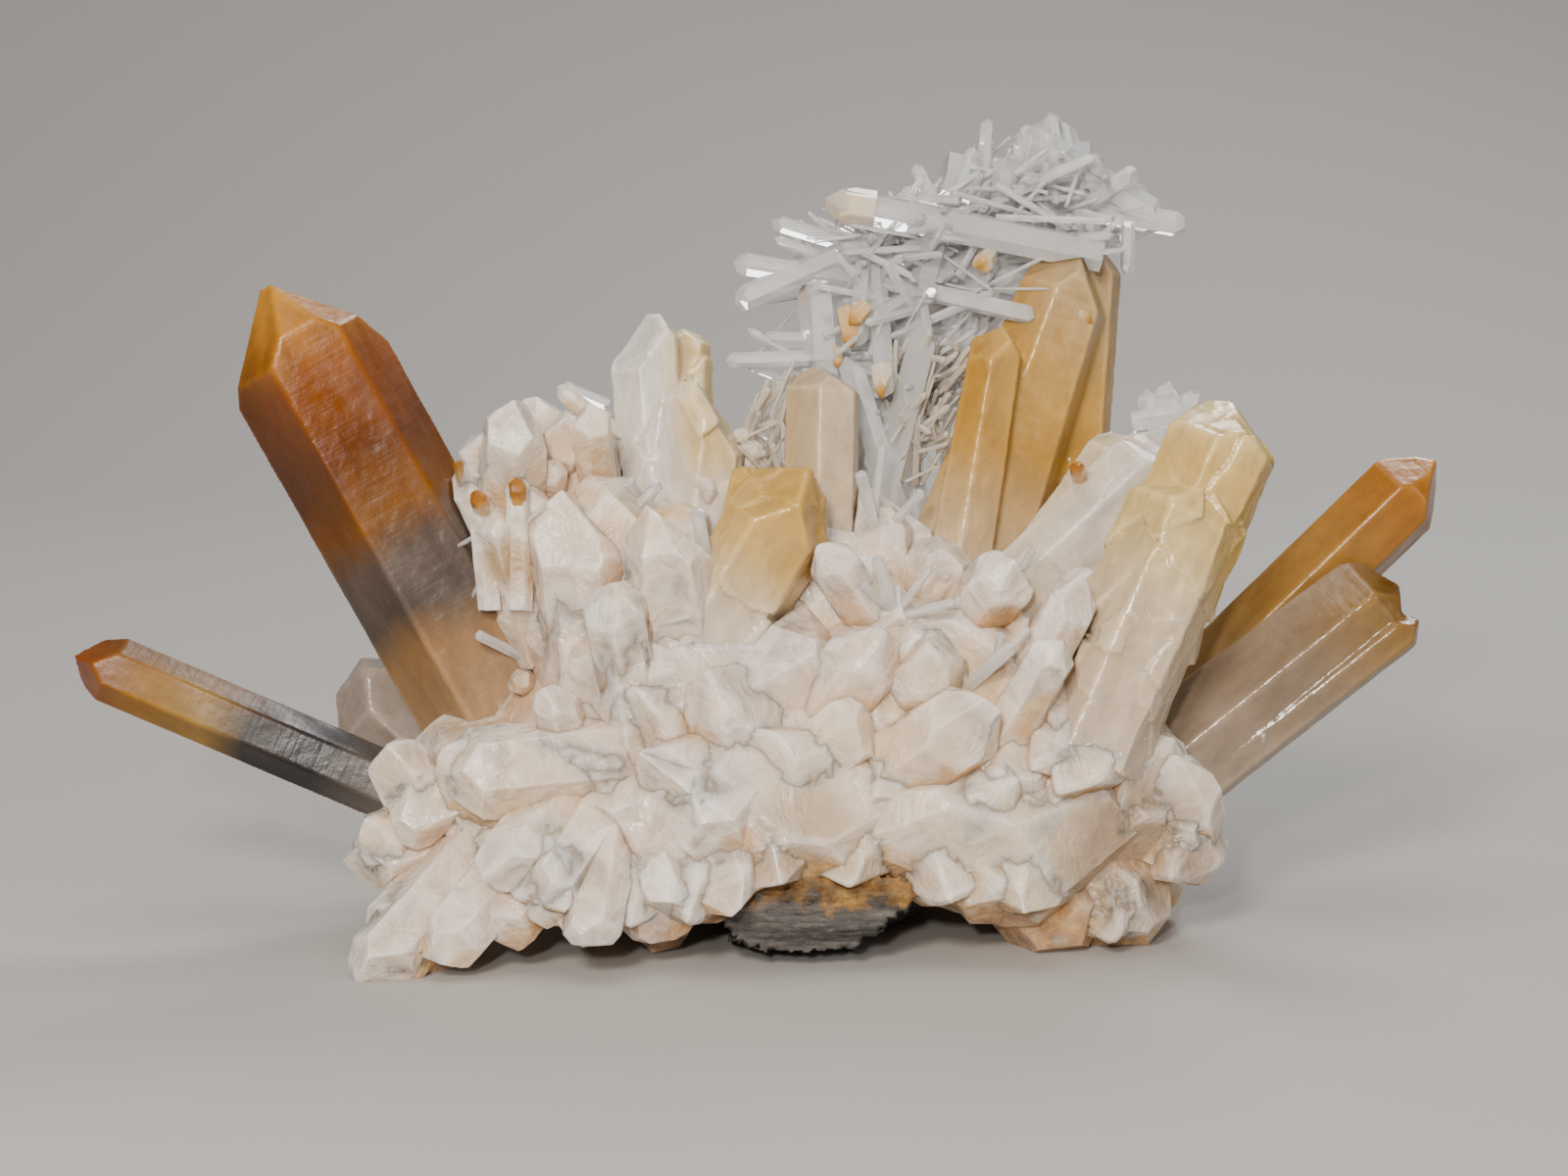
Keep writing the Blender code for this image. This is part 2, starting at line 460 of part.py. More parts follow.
def main():
    for leftover in list(bpy.data.objects):
        bpy.data.objects.remove(leftover)

    # Big crystals first. Each later piece leaves a seat round the earlier ones.
    order = [
        ("amber_point_left", AMBER_POINT_LEFT, "amber quartz"),
        ("amber_point_low", AMBER_POINT_LOW, "amber quartz"),
        ("yellow_top_prism", YELLOW_TOP_PRISM, "yellow quartz"),
        ("golden_prism", GOLDEN_PRISM, "yellow quartz"),
        ("squat_yellow_prism", SQUAT_YELLOW_PRISM, "yellow quartz"),
        ("beige_prism", BEIGE_PRISM, "yellow quartz"),
        ("pale_prism", PALE_PRISM, "milky quartz"),
        ("white_tower", WHITE_TOWER, "milky quartz"),
        ("amber_point_right", AMBER_POINT_RIGHT, "amber quartz"),
        ("smoky_prism_right", SMOKY_PRISM_RIGHT, "smoky quartz"),
        ("smoky_crystal_left", SMOKY_CRYSTAL_LEFT, "smoky quartz"),
    ]
    nodes = []
    placed = []
    for name, rows, finish in order:
        bodies = grown(rows)
        nodes.append(make_node(name, bodies, placed, finish, seen(*rows[0][0])))
        placed += bodies
    beds = [bed(*row) for row in SHALE_BEDS]
    nodes.append(make_node("shale_matrix", beds, [], "shale", Vector(SHALE_BEDS[0][0])))
    placed += beds
    druse = [mass(*row) for row in MASSES] + grown(DRUSE_TOP) + grown(DRUSE_FRONT) + rear_crystals()
    nodes.append(make_node("milky_druse", druse, placed, "milky quartz", HEART))
    spray = grown(SPRAY_STEM) + grown(SPRAY_NEEDLES)
    around = placed + grown(DRUSE_TOP) + [mass(*row) for row in MASSES]
    nodes.append(make_node("needle_spray", spray, around, "clear quartz", seen(*SPRAY_STEM[0][0])))
    few = grown(CLEAR_CRYSTALS_RIGHT)
    nodes.append(make_node("clear_crystals_right", few, placed + spray, "clear quartz", seen(44.0, 52.0, -2.0)))
    stand_on_middle(nodes)


main()
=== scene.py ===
# %% [markdown]
# # A quartz cluster
# The specimen is one handful of quartz: a milky druse on a scrap of shale, thick points with amber and
# yellow caps, and a spray of clear needles on top. The solids hold its main forms at their real size. This
# lesson dresses them: worn and etched crystal skins, colour that is zoned along each crystal, crowds of
# small crystals, fine needles and a flaky rock, and then a plain studio round it.

# %% Load the solids
import math
import random

import bmesh
import bpy
from mathutils import Matrix, Vector, noise
from mathutils.bvhtree import BVHTree


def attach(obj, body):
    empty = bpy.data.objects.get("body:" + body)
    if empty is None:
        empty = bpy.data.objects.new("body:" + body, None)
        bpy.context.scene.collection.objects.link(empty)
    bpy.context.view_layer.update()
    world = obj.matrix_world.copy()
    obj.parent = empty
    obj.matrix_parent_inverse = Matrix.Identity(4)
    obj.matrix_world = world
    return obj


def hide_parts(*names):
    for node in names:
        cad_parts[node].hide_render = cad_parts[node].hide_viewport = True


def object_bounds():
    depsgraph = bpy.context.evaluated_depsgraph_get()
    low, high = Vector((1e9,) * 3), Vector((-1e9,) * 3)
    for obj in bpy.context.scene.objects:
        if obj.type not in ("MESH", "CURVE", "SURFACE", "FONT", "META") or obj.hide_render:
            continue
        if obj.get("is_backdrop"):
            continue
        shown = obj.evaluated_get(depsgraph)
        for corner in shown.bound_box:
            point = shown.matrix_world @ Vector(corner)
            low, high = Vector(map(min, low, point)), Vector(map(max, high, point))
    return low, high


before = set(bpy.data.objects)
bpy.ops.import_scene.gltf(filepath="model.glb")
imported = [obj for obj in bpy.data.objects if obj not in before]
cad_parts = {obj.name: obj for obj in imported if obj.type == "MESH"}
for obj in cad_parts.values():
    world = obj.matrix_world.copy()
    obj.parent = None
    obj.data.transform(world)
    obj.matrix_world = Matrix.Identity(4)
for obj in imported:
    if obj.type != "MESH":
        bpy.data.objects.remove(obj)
cad_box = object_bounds()
MM = 0.001
QUARTZ_IOR = 1.544
print("solids:", len(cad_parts), "box:", cad_box)

# %% [markdown]
# ## The front view
# Places on the cluster are easiest to read as somebody sees them from the front: across, up, and away from
# the eye. The same three numbers placed the crystals in the solids, so one small function turns them into
# world points here too.

# %% Places as seen from the front
EYE_DISTANCE = 409.0
EYE_TILT = math.radians(8.0)
MIDDLE_ACROSS = 2.4
MIDDLE_UP = 40.3
MIDDLE_HEIGHT = 37.2
FOOTPRINT_SHIFT = Vector((-0.10, -6.11, 0.0))
LOOK = Vector((0.0, math.cos(EYE_TILT), -math.sin(EYE_TILT)))
RISE = Vector((0.0, math.sin(EYE_TILT), math.cos(EYE_TILT)))
VIEW_POINT = Vector((MIDDLE_ACROSS, 0.0, MIDDLE_HEIGHT)) + FOOTPRINT_SHIFT


def seen(across, up, away):
    """The point, in millimetres, that looks to be at this place from the front."""
    spread = (EYE_DISTANCE + away) / EYE_DISTANCE
    side = Vector((1.0, 0.0, 0.0)) * (across - MIDDLE_ACROSS) * spread
    return VIEW_POINT + side + RISE * (up - MIDDLE_UP) * spread + LOOK * away


print("middle of the view, mm:", [round(value, 1) for value in VIEW_POINT])

# %% [markdown]
# ## Small helpers
# A colour is written as the hex value that a paint program shows, and has to be made linear for a shader.
# A node tree is easier to read when one short function adds a node, sets it and wires it up. A link may
# name a socket, or a node whose first output is meant.

# %% Colours and nodes
# The kinds of node that come up again and again.
MATH, VECTOR, NOISE = "ShaderNodeMath", "ShaderNodeVectorMath", "ShaderNodeTexNoise"
REMAP, MIX, RAMP = "ShaderNodeMapRange", "ShaderNodeMix", "ShaderNodeValToRGB"
STORED, COORDINATES, SPLIT = "ShaderNodeAttribute", "ShaderNodeTexCoord", "ShaderNodeSeparateXYZ"
OUTPUT, BUMP, PRINCIPLED = "ShaderNodeOutputMaterial", "ShaderNodeBump", "ShaderNodeBsdfPrincipled"
MAPPING, CELLS, RANDOM = "ShaderNodeMapping", "ShaderNodeTexVoronoi", "FunctionNodeRandomValue"
COMPARE, STORE = "FunctionNodeCompare", "GeometryNodeStoreNamedAttribute"
POSITION, NORMAL = "GeometryNodeInputPosition", "GeometryNodeInputNormal"


def linear(code, alpha=1.0):
    """A linear colour from an sRGB hex value such as D8CDB8."""
    parts = [int(code[i:i + 2], 16) / 255.0 for i in (0, 2, 4)]
    made = [p / 12.92 if p <= 0.04045 else ((p + 0.055) / 1.055) ** 2.4 for p in parts]
    return (*made, alpha)


def add(tree, kind, links=None, values=None, stops=None, **settings):
    """Adds a node: settings are its properties, values and links fill its sockets, stops its ramp."""
    made = tree.nodes.new(kind)
    for key, value in settings.items():
        setattr(made, key, value)
    for socket, value in (values or {}).items():
        made.inputs[socket].default_value = value
    for socket, source in (links or {}).items():
        tree.links.new(source.outputs[0] if hasattr(source, "outputs") else source, made.inputs[socket])
    if stops:
        bar = made.color_ramp
        bar.elements.remove(bar.elements[1])
        bar.elements[0].position, bar.elements[0].color = stops[0][0], linear(stops[0][1])
        for position, code in stops[1:]:
            bar.elements.new(position).color = linear(code)
    return made


def new_finish(name):
    """A material with an empty tree, and its tree."""
    made = bpy.data.materials.new(name)
    made.use_nodes = True
    made.node_tree.nodes.clear()
    return made, made.node_tree


def new_geometry_tree(name, inputs):
    """A geometry tree with named inputs, its start node, and its end node."""
    tree = bpy.data.node_groups.new(name, "GeometryNodeTree")
    tree.interface.new_socket("Geometry", in_out="OUTPUT", socket_type="NodeSocketGeometry")
    tree.interface.new_socket("Geometry", in_out="INPUT", socket_type="NodeSocketGeometry")
    for title, kind, value in inputs:
        made = tree.interface.new_socket(title, in_out="INPUT", socket_type="NodeSocket" + kind)
        if value is not None:
            made.default_value = value
    return tree, tree.nodes.new("NodeGroupInput"), tree.nodes.new("NodeGroupOutput")


def run_tree(target, tree, **values):
    """Gives an object a geometry modifier, with its inputs set by each socket's identifier."""
    step = target.modifiers.new(tree.name, "NODES")
    step.node_group = tree
    named = {key.replace("_", " ").capitalize(): value for key, value in values.items()}
    for item in tree.interface.items_tree:
        if item.item_type == "SOCKET" and item.in_out == "INPUT" and item.name in named:
            step[item.identifier] = named[item.name]
    return step


print("helpers ready")

# %% [markdown]
# ## Meshes out of solids
# A solid arrives as loose triangles. A copy whose corners are merged, and whose flat faces are put back in
# one piece each, is what Remesh needs. When the modifiers have done their work, the result is turned into a
# plain mesh, so that nothing live is left on a finished piece.

# %% Copies of solids


def keep(name, mesh, finish=None):
    """A new object at the origin that holds this mesh."""
    made = bpy.data.objects.new(name, mesh)
    bpy.context.scene.collection.objects.link(made)
    if finish:
        mesh.materials.clear()
        mesh.materials.append(finish)
    return made


def merged(node):
    """A copy of a solid's mesh with its corners merged and its flat faces whole."""
    body = bmesh.new()
    body.from_mesh(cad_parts[node].data)
    bmesh.ops.remove_doubles(body, verts=body.verts, dist=0.00001)
    bmesh.ops.dissolve_limit(body, angle_limit=math.radians(0.4), verts=body.verts, edges=body.edges)
    made = bpy.data.meshes.new(node + "_copy")
    body.to_mesh(made)
    body.free()
    return made


def settled(source, finish, replaces=None, smooth=True):
    """Turns an object's modifiers into plain mesh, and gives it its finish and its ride."""
    graph = bpy.context.evaluated_depsgraph_get()
    made = bpy.data.meshes.new_from_object(source.evaluated_get(graph))
    source.modifiers.clear()
    source.data = made
    made.materials.clear()
    made.materials.append(finish)
    if smooth:
        made.shade_smooth()
    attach(source, "root")
    if replaces:
        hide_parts(replaces)
    made.calc_loop_triangles()
    print(source.name, len(made.loop_triangles), "triangles")
    return source


print("druse corners:", len(merged("milky_druse").vertices))

# %% [markdown]
# ## An etched skin
# Quartz from such pockets is rarely glass-smooth: shallow dents, growth steps and dissolved edges cover it.
# A small node tree moves each point along its normal by layered noise, with the depth and the grain as
# named inputs, so that every crystal can use the same tree with its own numbers. It can also break a
# massive surface into flat facets: each Voronoi cell is a face with a tilt of its own.

# %% The tree that etches a surface
ETCH, start, end = new_geometry_tree("etch", [
    ("Dent depth", "Float", 0.0003), ("Dents per metre", "Float", 250.0),
    ("Step depth", "Float", 0.0001), ("Steps per metre", "Float", 900.0),
    ("Facets per metre", "Float", 150.0), ("Facet tilt", "Float", 0.0),
])
place = add(ETCH, POSITION)
normal = add(ETCH, NORMAL)
dents = add(ETCH, NOISE, {"Vector": place, "Scale": start.outputs["Dents per metre"]},
            {"Detail": 3.0, "Roughness": 0.55})
steps = add(ETCH, CELLS, {"Vector": place, "Scale": start.outputs["Steps per metre"]})
level = add(ETCH, MATH, {0: dents}, {1: 0.5}, operation="SUBTRACT")
deep = add(ETCH, MATH, {0: level, 1: start.outputs["Dent depth"]}, operation="MULTIPLY")
crown = add(ETCH, MATH, {0: steps.outputs["Distance"]}, {1: 0.45}, operation="SUBTRACT")
total = add(ETCH, MATH, {0: crown, 1: start.outputs["Step depth"], 2: deep}, operation="MULTIPLY_ADD")
warp = add(ETCH, NOISE, {"Vector": place}, {"Scale": 90.0, "Detail": 2.0})
bent = add(ETCH, VECTOR, {0: warp.outputs["Color"]}, {"Scale": 0.006}, operation="SCALE")
shifted = add(ETCH, VECTOR, {0: place, 1: bent}, operation="ADD")
scaled = add(ETCH, VECTOR, {0: shifted, "Scale": start.outputs["Facets per metre"]}, operation="SCALE")
cells = add(ETCH, CELLS, {"Vector": scaled}, {"Scale": 1.0})
within = add(ETCH, VECTOR, {0: scaled, 1: cells.outputs["Position"]}, operation="SUBTRACT")
lean = add(ETCH, VECTOR, {0: cells.outputs["Color"]}, {1: (0.5, 0.5, 0.5)}, operation="SUBTRACT")
slope = add(ETCH, VECTOR, {0: within, 1: lean}, operation="DOT_PRODUCT")
pitch = add(ETCH, MATH, {0: start.outputs["Facet tilt"], 1: start.outputs["Facets per metre"]},
            operation="DIVIDE")
faceted = add(ETCH, MATH, {0: slope.outputs["Value"], 1: pitch, 2: total}, operation="MULTIPLY_ADD")
push = add(ETCH, VECTOR, {0: normal, "Scale": faceted}, operation="SCALE")
moved = add(ETCH, "GeometryNodeSetPosition", {"Geometry": start.outputs["Geometry"], "Offset": push})
ETCH.links.new(moved.outputs[0], end.inputs[0])
print("tree:", ETCH.name, "with", len(ETCH.nodes), "nodes")

# %% [markdown]
# ## Ridges, hollows and undersides
# Milky quartz is given a painted highlight on its sharp edges, and warm painted shade, with some clay in it,
# in its hollows. To let a finish know where it is, a second tree compares each point
# with a blurred copy of the surface, and stores how far it stands out in millimetres: over a short
# distance as "crest", over a long one as "swell". It also stores how much a place faces down, as "under".

# %% The tree that marks the relief
MARKS, start, end = new_geometry_tree("marks", [("Short blur", "Int", 14), ("Long blur", "Int", 260)])
place = add(MARKS, POSITION)
normal = add(MARKS, NORMAL)
shape = start.outputs["Geometry"]
for title, reach in (("crest", "Short blur"), ("swell", "Long blur")):
    blurred = add(MARKS, "GeometryNodeBlurAttribute", data_type="FLOAT_VECTOR")
    MARKS.links.new(place.outputs[0], next(s for s in blurred.inputs if s.enabled and s.name == "Value"))
    MARKS.links.new(start.outputs[reach], blurred.inputs["Iterations"])
    apart = add(MARKS, VECTOR, {0: place, 1: next(s for s in blurred.outputs if s.enabled)},
                operation="SUBTRACT")
    out = add(MARKS, VECTOR, {0: apart, 1: normal}, operation="DOT_PRODUCT")
    in_mm = add(MARKS, MATH, {0: out.outputs["Value"]}, {1: 1000.0}, operation="MULTIPLY")
    shape = add(MARKS, STORE, {"Geometry": shape, "Value": in_mm}, {"Name": title}, data_type="FLOAT",
                domain="POINT")
facing = add(MARKS, SPLIT, {0: normal})
softened = add(MARKS, "GeometryNodeBlurAttribute", data_type="FLOAT")
MARKS.links.new(facing.outputs["Z"], next(s for s in softened.inputs if s.enabled and s.name == "Value"))
softened.inputs["Iterations"].default_value = 30
below = add(MARKS, MATH, {0: next(s for s in softened.outputs if s.enabled)}, {1: -1.0}, operation="MULTIPLY")
shape = add(MARKS, STORE, {"Geometry": shape, "Value": below}, {"Name": "under"}, data_type="FLOAT",
            domain="POINT")
MARKS.links.new(shape.outputs[0], end.inputs[0])
print("tree:", MARKS.name, "with", len(MARKS.nodes), "nodes")

# %% [markdown]
# ## Crystals with a place of their own
# A quartz crystal is a six-sided prism, closed by sloping faces that stand 52 degrees off its axis and are
# rarely equal. A short function cuts one out of a prism, plane by plane, and takes its edges off, because
# a real edge always shows as a bright line. The front of the druse is known crystal by crystal, so these
# are listed one by one: a row gives a root and a tip as seen from the front, and a sight line through the
# root finds the surface. The crystal starts a few millimetres inside it, so it is truly rooted from every
# side.

# %% One crystal
FACE_TILT = math.radians(51.8)


def grow_crystal(body, start, end, width, twist, drops, layers, tone=0.5, bevel=0.06):
    """Adds one crystal from start to end to a bmesh; drops lower its six end faces, in widths."""
    along = (end - start).normalized()
    length = (end - start).length
    single = bmesh.new()
    reach = length + width
    low, high = [], []
    for side in range(6):
        angle = twist + math.radians(60.0 * side + 30.0)
        corner = Vector((math.cos(angle), math.sin(angle), 0.0)) * width / math.sqrt(3.0)
        low.append(single.verts.new(corner * 0.94))
        high.append(single.verts.new(corner + Vector((0.0, 0.0, reach))))
    single.faces.new(low[::-1])
    single.faces.new(high)
    for side in range(6):
        single.faces.new((low[side - 1], low[side], high[side], high[side - 1]))
    for side in range(6):
        angle = twist + math.radians(60.0 * side)
        outward = Vector((math.cos(angle) * math.sin(FACE_TILT), math.sin(angle) * math.sin(FACE_TILT),
                          math.cos(FACE_TILT)))
        point = Vector((0.0, 0.0, length - min(drops[side] * width, 0.4 * length)))
        parts = single.verts[:] + single.edges[:] + single.faces[:]
        cut = bmesh.ops.bisect_plane(single, geom=parts, plane_co=point, plane_no=outward, dist=width * 0.001,
                                     clear_outer=True)
        rim = [item for item in cut["geom_cut"] if isinstance(item, bmesh.types.BMEdge)]
        if rim:
            bmesh.ops.holes_fill(single, edges=rim, sides=0)
    bmesh.ops.remove_doubles(single, verts=single.verts, dist=width * 0.01)
    if bevel:
        bmesh.ops.bevel(single, geom=single.edges[:], offset=width * bevel, segments=1, affect="EDGES",
                        clamp_overlap=True)
    bmesh.ops.recalc_face_normals(single, faces=single.faces)
    top = max(vert.co.z for vert in single.verts)
    turn = along.to_track_quat("Z", "Y").to_matrix()
    fit = length / top
    copies = {}
    for vert in single.verts:
        copy = body.verts.new(start + turn @ Vector((vert.co.x, vert.co.y, vert.co.z * fit)))
        copy[layers[0]] = vert.co.z / top
        copy[layers[1]] = tone
        copies[vert] = copy
    for face in single.faces:
        body.faces.new([copies[vert] for vert in face.verts])
    single.free()


def new_crystal_body():
    """An empty bmesh with the two values that a crystal's finish reads."""
    body = bmesh.new()
    return body, (body.verts.layers.float.new("along"), body.verts.layers.float.new("tone"))


def end_faces(chance):
    """How far each of the six end faces is lowered: three are larger, and one or two cut right across."""
    drops = [chance.uniform(0.0, 0.12) + (0.0 if side % 2 else chance.uniform(0.05, 0.2))
             for side in range(6)]
    main = chance.randrange(6)
    drops[main] += chance.uniform(0.1, 0.35)
    drops[main - 1] += chance.uniform(0.0, 0.2)
    return drops


# %% Where a sight line meets the solids
EYE = (VIEW_POINT - LOOK * EYE_DISTANCE) * MM
ground = bmesh.new()
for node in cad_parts:
    if node != "needle_spray":
        ground.from_mesh(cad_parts[node].data)
GROUND = BVHTree.FromBMesh(ground)
ground.free()


def depth_of(point):
    """How far a point in metres is beyond the middle plane, in millimetres."""
    return (point - EYE).dot(LOOK) / MM - EYE_DISTANCE


def depth_at(across, up):
    """How far away the solids' surface is at a place seen from the front, in millimetres."""
    toward = (seen(across, up, 0.0) * MM - EYE).normalized()
    hit = GROUND.ray_cast(EYE, toward)[0]
    return depth_of(hit) if hit else 0.0


def rooted(row):
    """Root and tip in millimetres of a row (across, up, sink, across, up, lift, ...)."""
    depth = depth_at(row[0], row[1])
    return seen(row[0], row[1], depth + row[2]), seen(row[3], row[4], depth - row[5])


print("depth in the middle of the druse, mm:", round(depth_at(0.0, 20.0), 1))

# %% The blocks and points of the front
DRUSE_POINTS = [
    (-19.3, 34.9, 7, -20.6, 51.4, 1.5, 11.3, 0.12), (-24.4, 41.4, 7, -25.3, 51.1, 2, 3.2, 0.62),
    (-14.1, 25.7, 7, -16.9, 40.7, 3, 6.3, 0.8), (-7.8, 30.5, 8, -11.5, 49.8, 2, 8.7, 0.2),
    (-27.9, 51.1, 6, -26.9, 61.0, 2, 6.7, 0.3), (-31.4, 50.6, 5, -30.4, 57.0, 2, 5.2, 0.7),
    (-23.0, 52.2, 5, -21.8, 58.9, 3, 4.8, 0.3), (-18.0, 52.2, 5, -19.0, 60.4, 3, 3.7, 0.7),
    (-21.7, 24.0, 5, -23.5, 29.2, 2.5, 4.3, 0.3), (-24.9, 29.2, 3, -27.5, 30.3, 2, 1.8, 0.3),
    (-23.6, 49.0, 4, -23.8, 54.4, 3, 3.2, 0.35), (-28.5, 14.8, 8, -29.2, 8.0, 3, 6.3, 0.75),
    (-25.2, 14.8, 8, -23.0, 5.1, 3, 7.8, 0.6), (-20.1, 13.2, 8, -19.4, 1.1, 2.5, 5.6, 0.8),
    (-32.3, 12.1, 8, -31.3, 2.2, 2, 7.4, 0.72), (-13.9, 12.7, 10, -14.3, 2.4, 0.4, 9.3, 0.15),
    (10.0, 17.0, 9, 25.3, 27.1, 3, 8.4, 0.82), (19.2, 25.1, 10, 17.0, 34.3, 4, 8.0, 0.9),
    (27.8, 25.7, 6, 35.7, 41.4, 3, 5.2, 0.3), (24.0, 18.6, 7, 33.2, 34.9, 3, 4.8, 0.7),
    (34.7, 31.1, 4, 31.2, 23.0, 2, 3.7, 0.4), (30.5, 34.9, 5, 36.5, 41.9, 2, 4.3, 0.25),
    (-0.9, 19.7, 10, -4.7, 31.6, 0.6, 9.1, 0.8), (4.5, 23.0, 10, 13.8, 36.0, 0.6, 8.2, 0.85),
    (13.8, 34.9, 6, 6.2, 45.2, 2, 5.2, 0.3), (-13.9, 40.3, 4, -13.3, 43.5, 2, 2.2, 0.3),
    (-4.7, 49.0, 4, -6.8, 52.0, 2, 2.4, 0.3), (-0.3, 54.4, 4, -3.2, 51.1, 2, 2.6, 0.3),
    (-6.3, 13.2, 10, -3.6, 5.1, 0.4, 8.4, 0.3), (18.6, 13.2, 11, 20.6, 5.4, 0.3, 10.0, 0.5),
    (28.4, 12.1, 11, 29.5, 3.7, 0.4, 11.3, 0.2), (38.1, 10.0, 10, 39.2, 1.3, 0.4, 9.1, 0.5),
    (6.7, 16.5, 11, -0.3, 25.1, 0.4, 10.8, 0.3), (17.5, 13.2, 11, 28.4, 19.7, 0.6, 10.4, 0.5),
    (32.7, 15.4, 11, 24.0, 21.9, 0.6, 9.7, 0.6), (44.6, 14.3, 10, 34.9, 18.6, 0.6, 11.9, 0.3),
    (46.8, 13.2, 9, 45.2, 7.3, 0.6, 9.1, 0.5), (-1.9, 16.5, 11, -12.8, 21.9, 0.4, 11.3, 0.4),
    (-14.9, 18.6, 11, -25.2, 23.0, 0.6, 13.0, 0.3), (-25.8, 17.5, 11, -35.0, 21.3, 0.6, 11.9, 0.5),
    (21.9, 36.0, 7, 28.4, 43.5, 2, 6.5, 0.3), (-8.4, 20.8, 10, -14.9, 27.8, 0.6, 8.2, 0.5),
    (-36.6, 16.5, 8, -41.8, 21.9, 2, 7.1, 0.5), (-38.8, 10.0, 8, -44.0, 14.8, 2, 6.5, 0.3),
    (-37.7, 4.5, 7, -42.6, -1.4, 2, 7.6, 0.7), (43.0, 19.7, 9, 35.4, 24.6, 0.3, 10.8, 0.4),
    (47.3, 14.3, 5, 45.7, 20.8, 3, 7.6, 0.6), (37.6, 23.2, 6, 32.9, 17.0, 1.2, 8.0, 0.35),
    (42.7, 21.7, 6, 40.3, 13.6, 1.0, 9.1, 0.3), (35.1, 24.9, 6, 29.7, 19.7, 0.8, 6.5, 0.6),
    (30.5, 18.6, 8, 24.0, 13.2, 0.8, 10.8, 0.3), (1.5, 13.2, 10, 2.4, 7.1, 0.8, 13.4, 0.35),
    (10.2, 13.2, 10, 9.7, 6.9, 0.8, 12.6, 0.3), (-8.4, 11.9, 9, -9.1, 4.3, 1.0, 9.1, 0.4),
]
CAPPED_POINTS = [
    (-26.3, 39.2, 8, -27.1, 52.4, 3, 1.7, 1),
    (-30.4, 47.3, 6, -31.5, 50.6, 3, 1.8, 1), (-33.0, 51.1, 3, -33.7, 54.4, 2, 1.0, 1),
    (35.3, 51.1, 5, 34.7, 54.0, 3, 1.5, 1),
]
FRONT_NEEDLES = [
    (-26.3, 33.8, 1, -22.4, 40.5, 2.5, 0.6), (-24.0, 38.0, 1, -19.2, 39.1, 3, 0.5),
    (-23.4, 37.3, 1, -19.2, 38.3, 3, 0.4), (-26.1, 32.5, 1.5, -31.7, 35.3, 3, 1.2),
    (-25.8, 41.9, 1, -24.0, 44.8, 2, 0.6), (-12.8, 35.8, 1, -7.8, 37.3, 2, 0.5),
    (-26.5, 47.1, 1, -23.9, 49.6, 2.5, 0.5), (14.7, 37.3, 2, 12.6, 43.8, 3, 1.4),
    (14.7, 37.3, 2, 18.7, 42.7, 3, 0.9), (14.7, 37.3, 2, 10.9, 40.9, 3, 0.9),
    (14.7, 37.0, 2, 21.4, 38.8, 3, 1.0), (14.7, 37.3, 2, 13.5, 30.5, 3, 1.0),
    (11.0, 36.0, 2, 5.6, 30.5, 2.5, 1.5), (21.4, 28.2, 2, 27.9, 34.1, 3, 1.6),
    (24.0, 29.5, 2, 29.5, 36.0, 3, 1.0), (12.5, 46.2, 2, 10.8, 53.3, 3, 1.4),
    (12.1, 46.8, 2, 13.4, 56.3, 3, 0.9), (13.8, 46.8, 2, 17.8, 51.1, 3, 1.1),
    (6.3, 39.9, 2, 7.9, 44.1, 3, 1.2), (6.9, 39.6, 2, 8.9, 43.5, 3, 0.8),
    (-17.1, 60.6, 1, -22.1, 62.7, 1, 1.4), (-6.3, 24.0, 1.5, -3.9, 30.3, 2.5, 0.9),
    (-8.4, 24.6, 1.5, -4.9, 29.5, 3, 0.5), (-5.7, 23.8, 1, -3.9, 27.1, 2, 0.4),
    (45.7, 18.0, 1.5, 47.1, 21.7, 2, 1.3), (46.6, 17.3, 1.5, 48.1, 19.7, 2, 0.6),
    (55.6, 21.3, 1.5, 55.3, 24.3, 2, 0.6), (-32.3, 38.7, 1, -31.0, 41.4, 2, 0.5),
    (-34.2, 44.6, 1, -31.4, 46.2, 2, 0.5), (-6.1, 42.7, 1.5, -7.3, 49.0, 2.5, 1.6),
    (27.3, 40.3, 2, 30.0, 44.6, 3, 0.9), (16.5, 43.5, 2, 20.6, 41.4, 3, 1.1),
    (25.7, 30.5, 2, 26.4, 35.4, 3, 1.1), (43.5, 19.7, 2, 40.3, 24.0, 3, 0.9),
    (-13.9, 49.0, 2, -11.5, 51.7, 2.5, 1.5), (-13.3, 49.8, 2, -14.9, 52.2, 2, 1.3),
]


def placed_crystals(name, rows, seed, bevel=0.05, find=rooted):
    """One mesh of all the crystals in a table."""
    body, layers = new_crystal_body()
    chance = random.Random(seed)
    for row in rows:
        root, tip = find(row)
        grow_crystal(body, root * MM, tip * MM, row[6] * MM, chance.uniform(0.0, 1.0), end_faces(chance),
                     layers, row[7], bevel)
    mesh = bpy.data.meshes.new(name)
    body.to_mesh(mesh)
    body.free()
    return mesh


druse_points = placed_crystals("druse points", DRUSE_POINTS, 11)
print("placed crystals:", len(DRUSE_POINTS))

# %% [markdown]
# ## Milky quartz
# Milky quartz is clear quartz full of tiny bubbles: light goes in, scatters and comes out soft, which is
# subsurface light in a Principled shader. White veils cross a greyer body, warm patches come from iron and
# clay, and rust follows the underside. The sparkle comes from small flat faces that catch the lamp: each
# Voronoi cell, about a millimetre wide, gets a tilt of its own.

# %% The milky finish


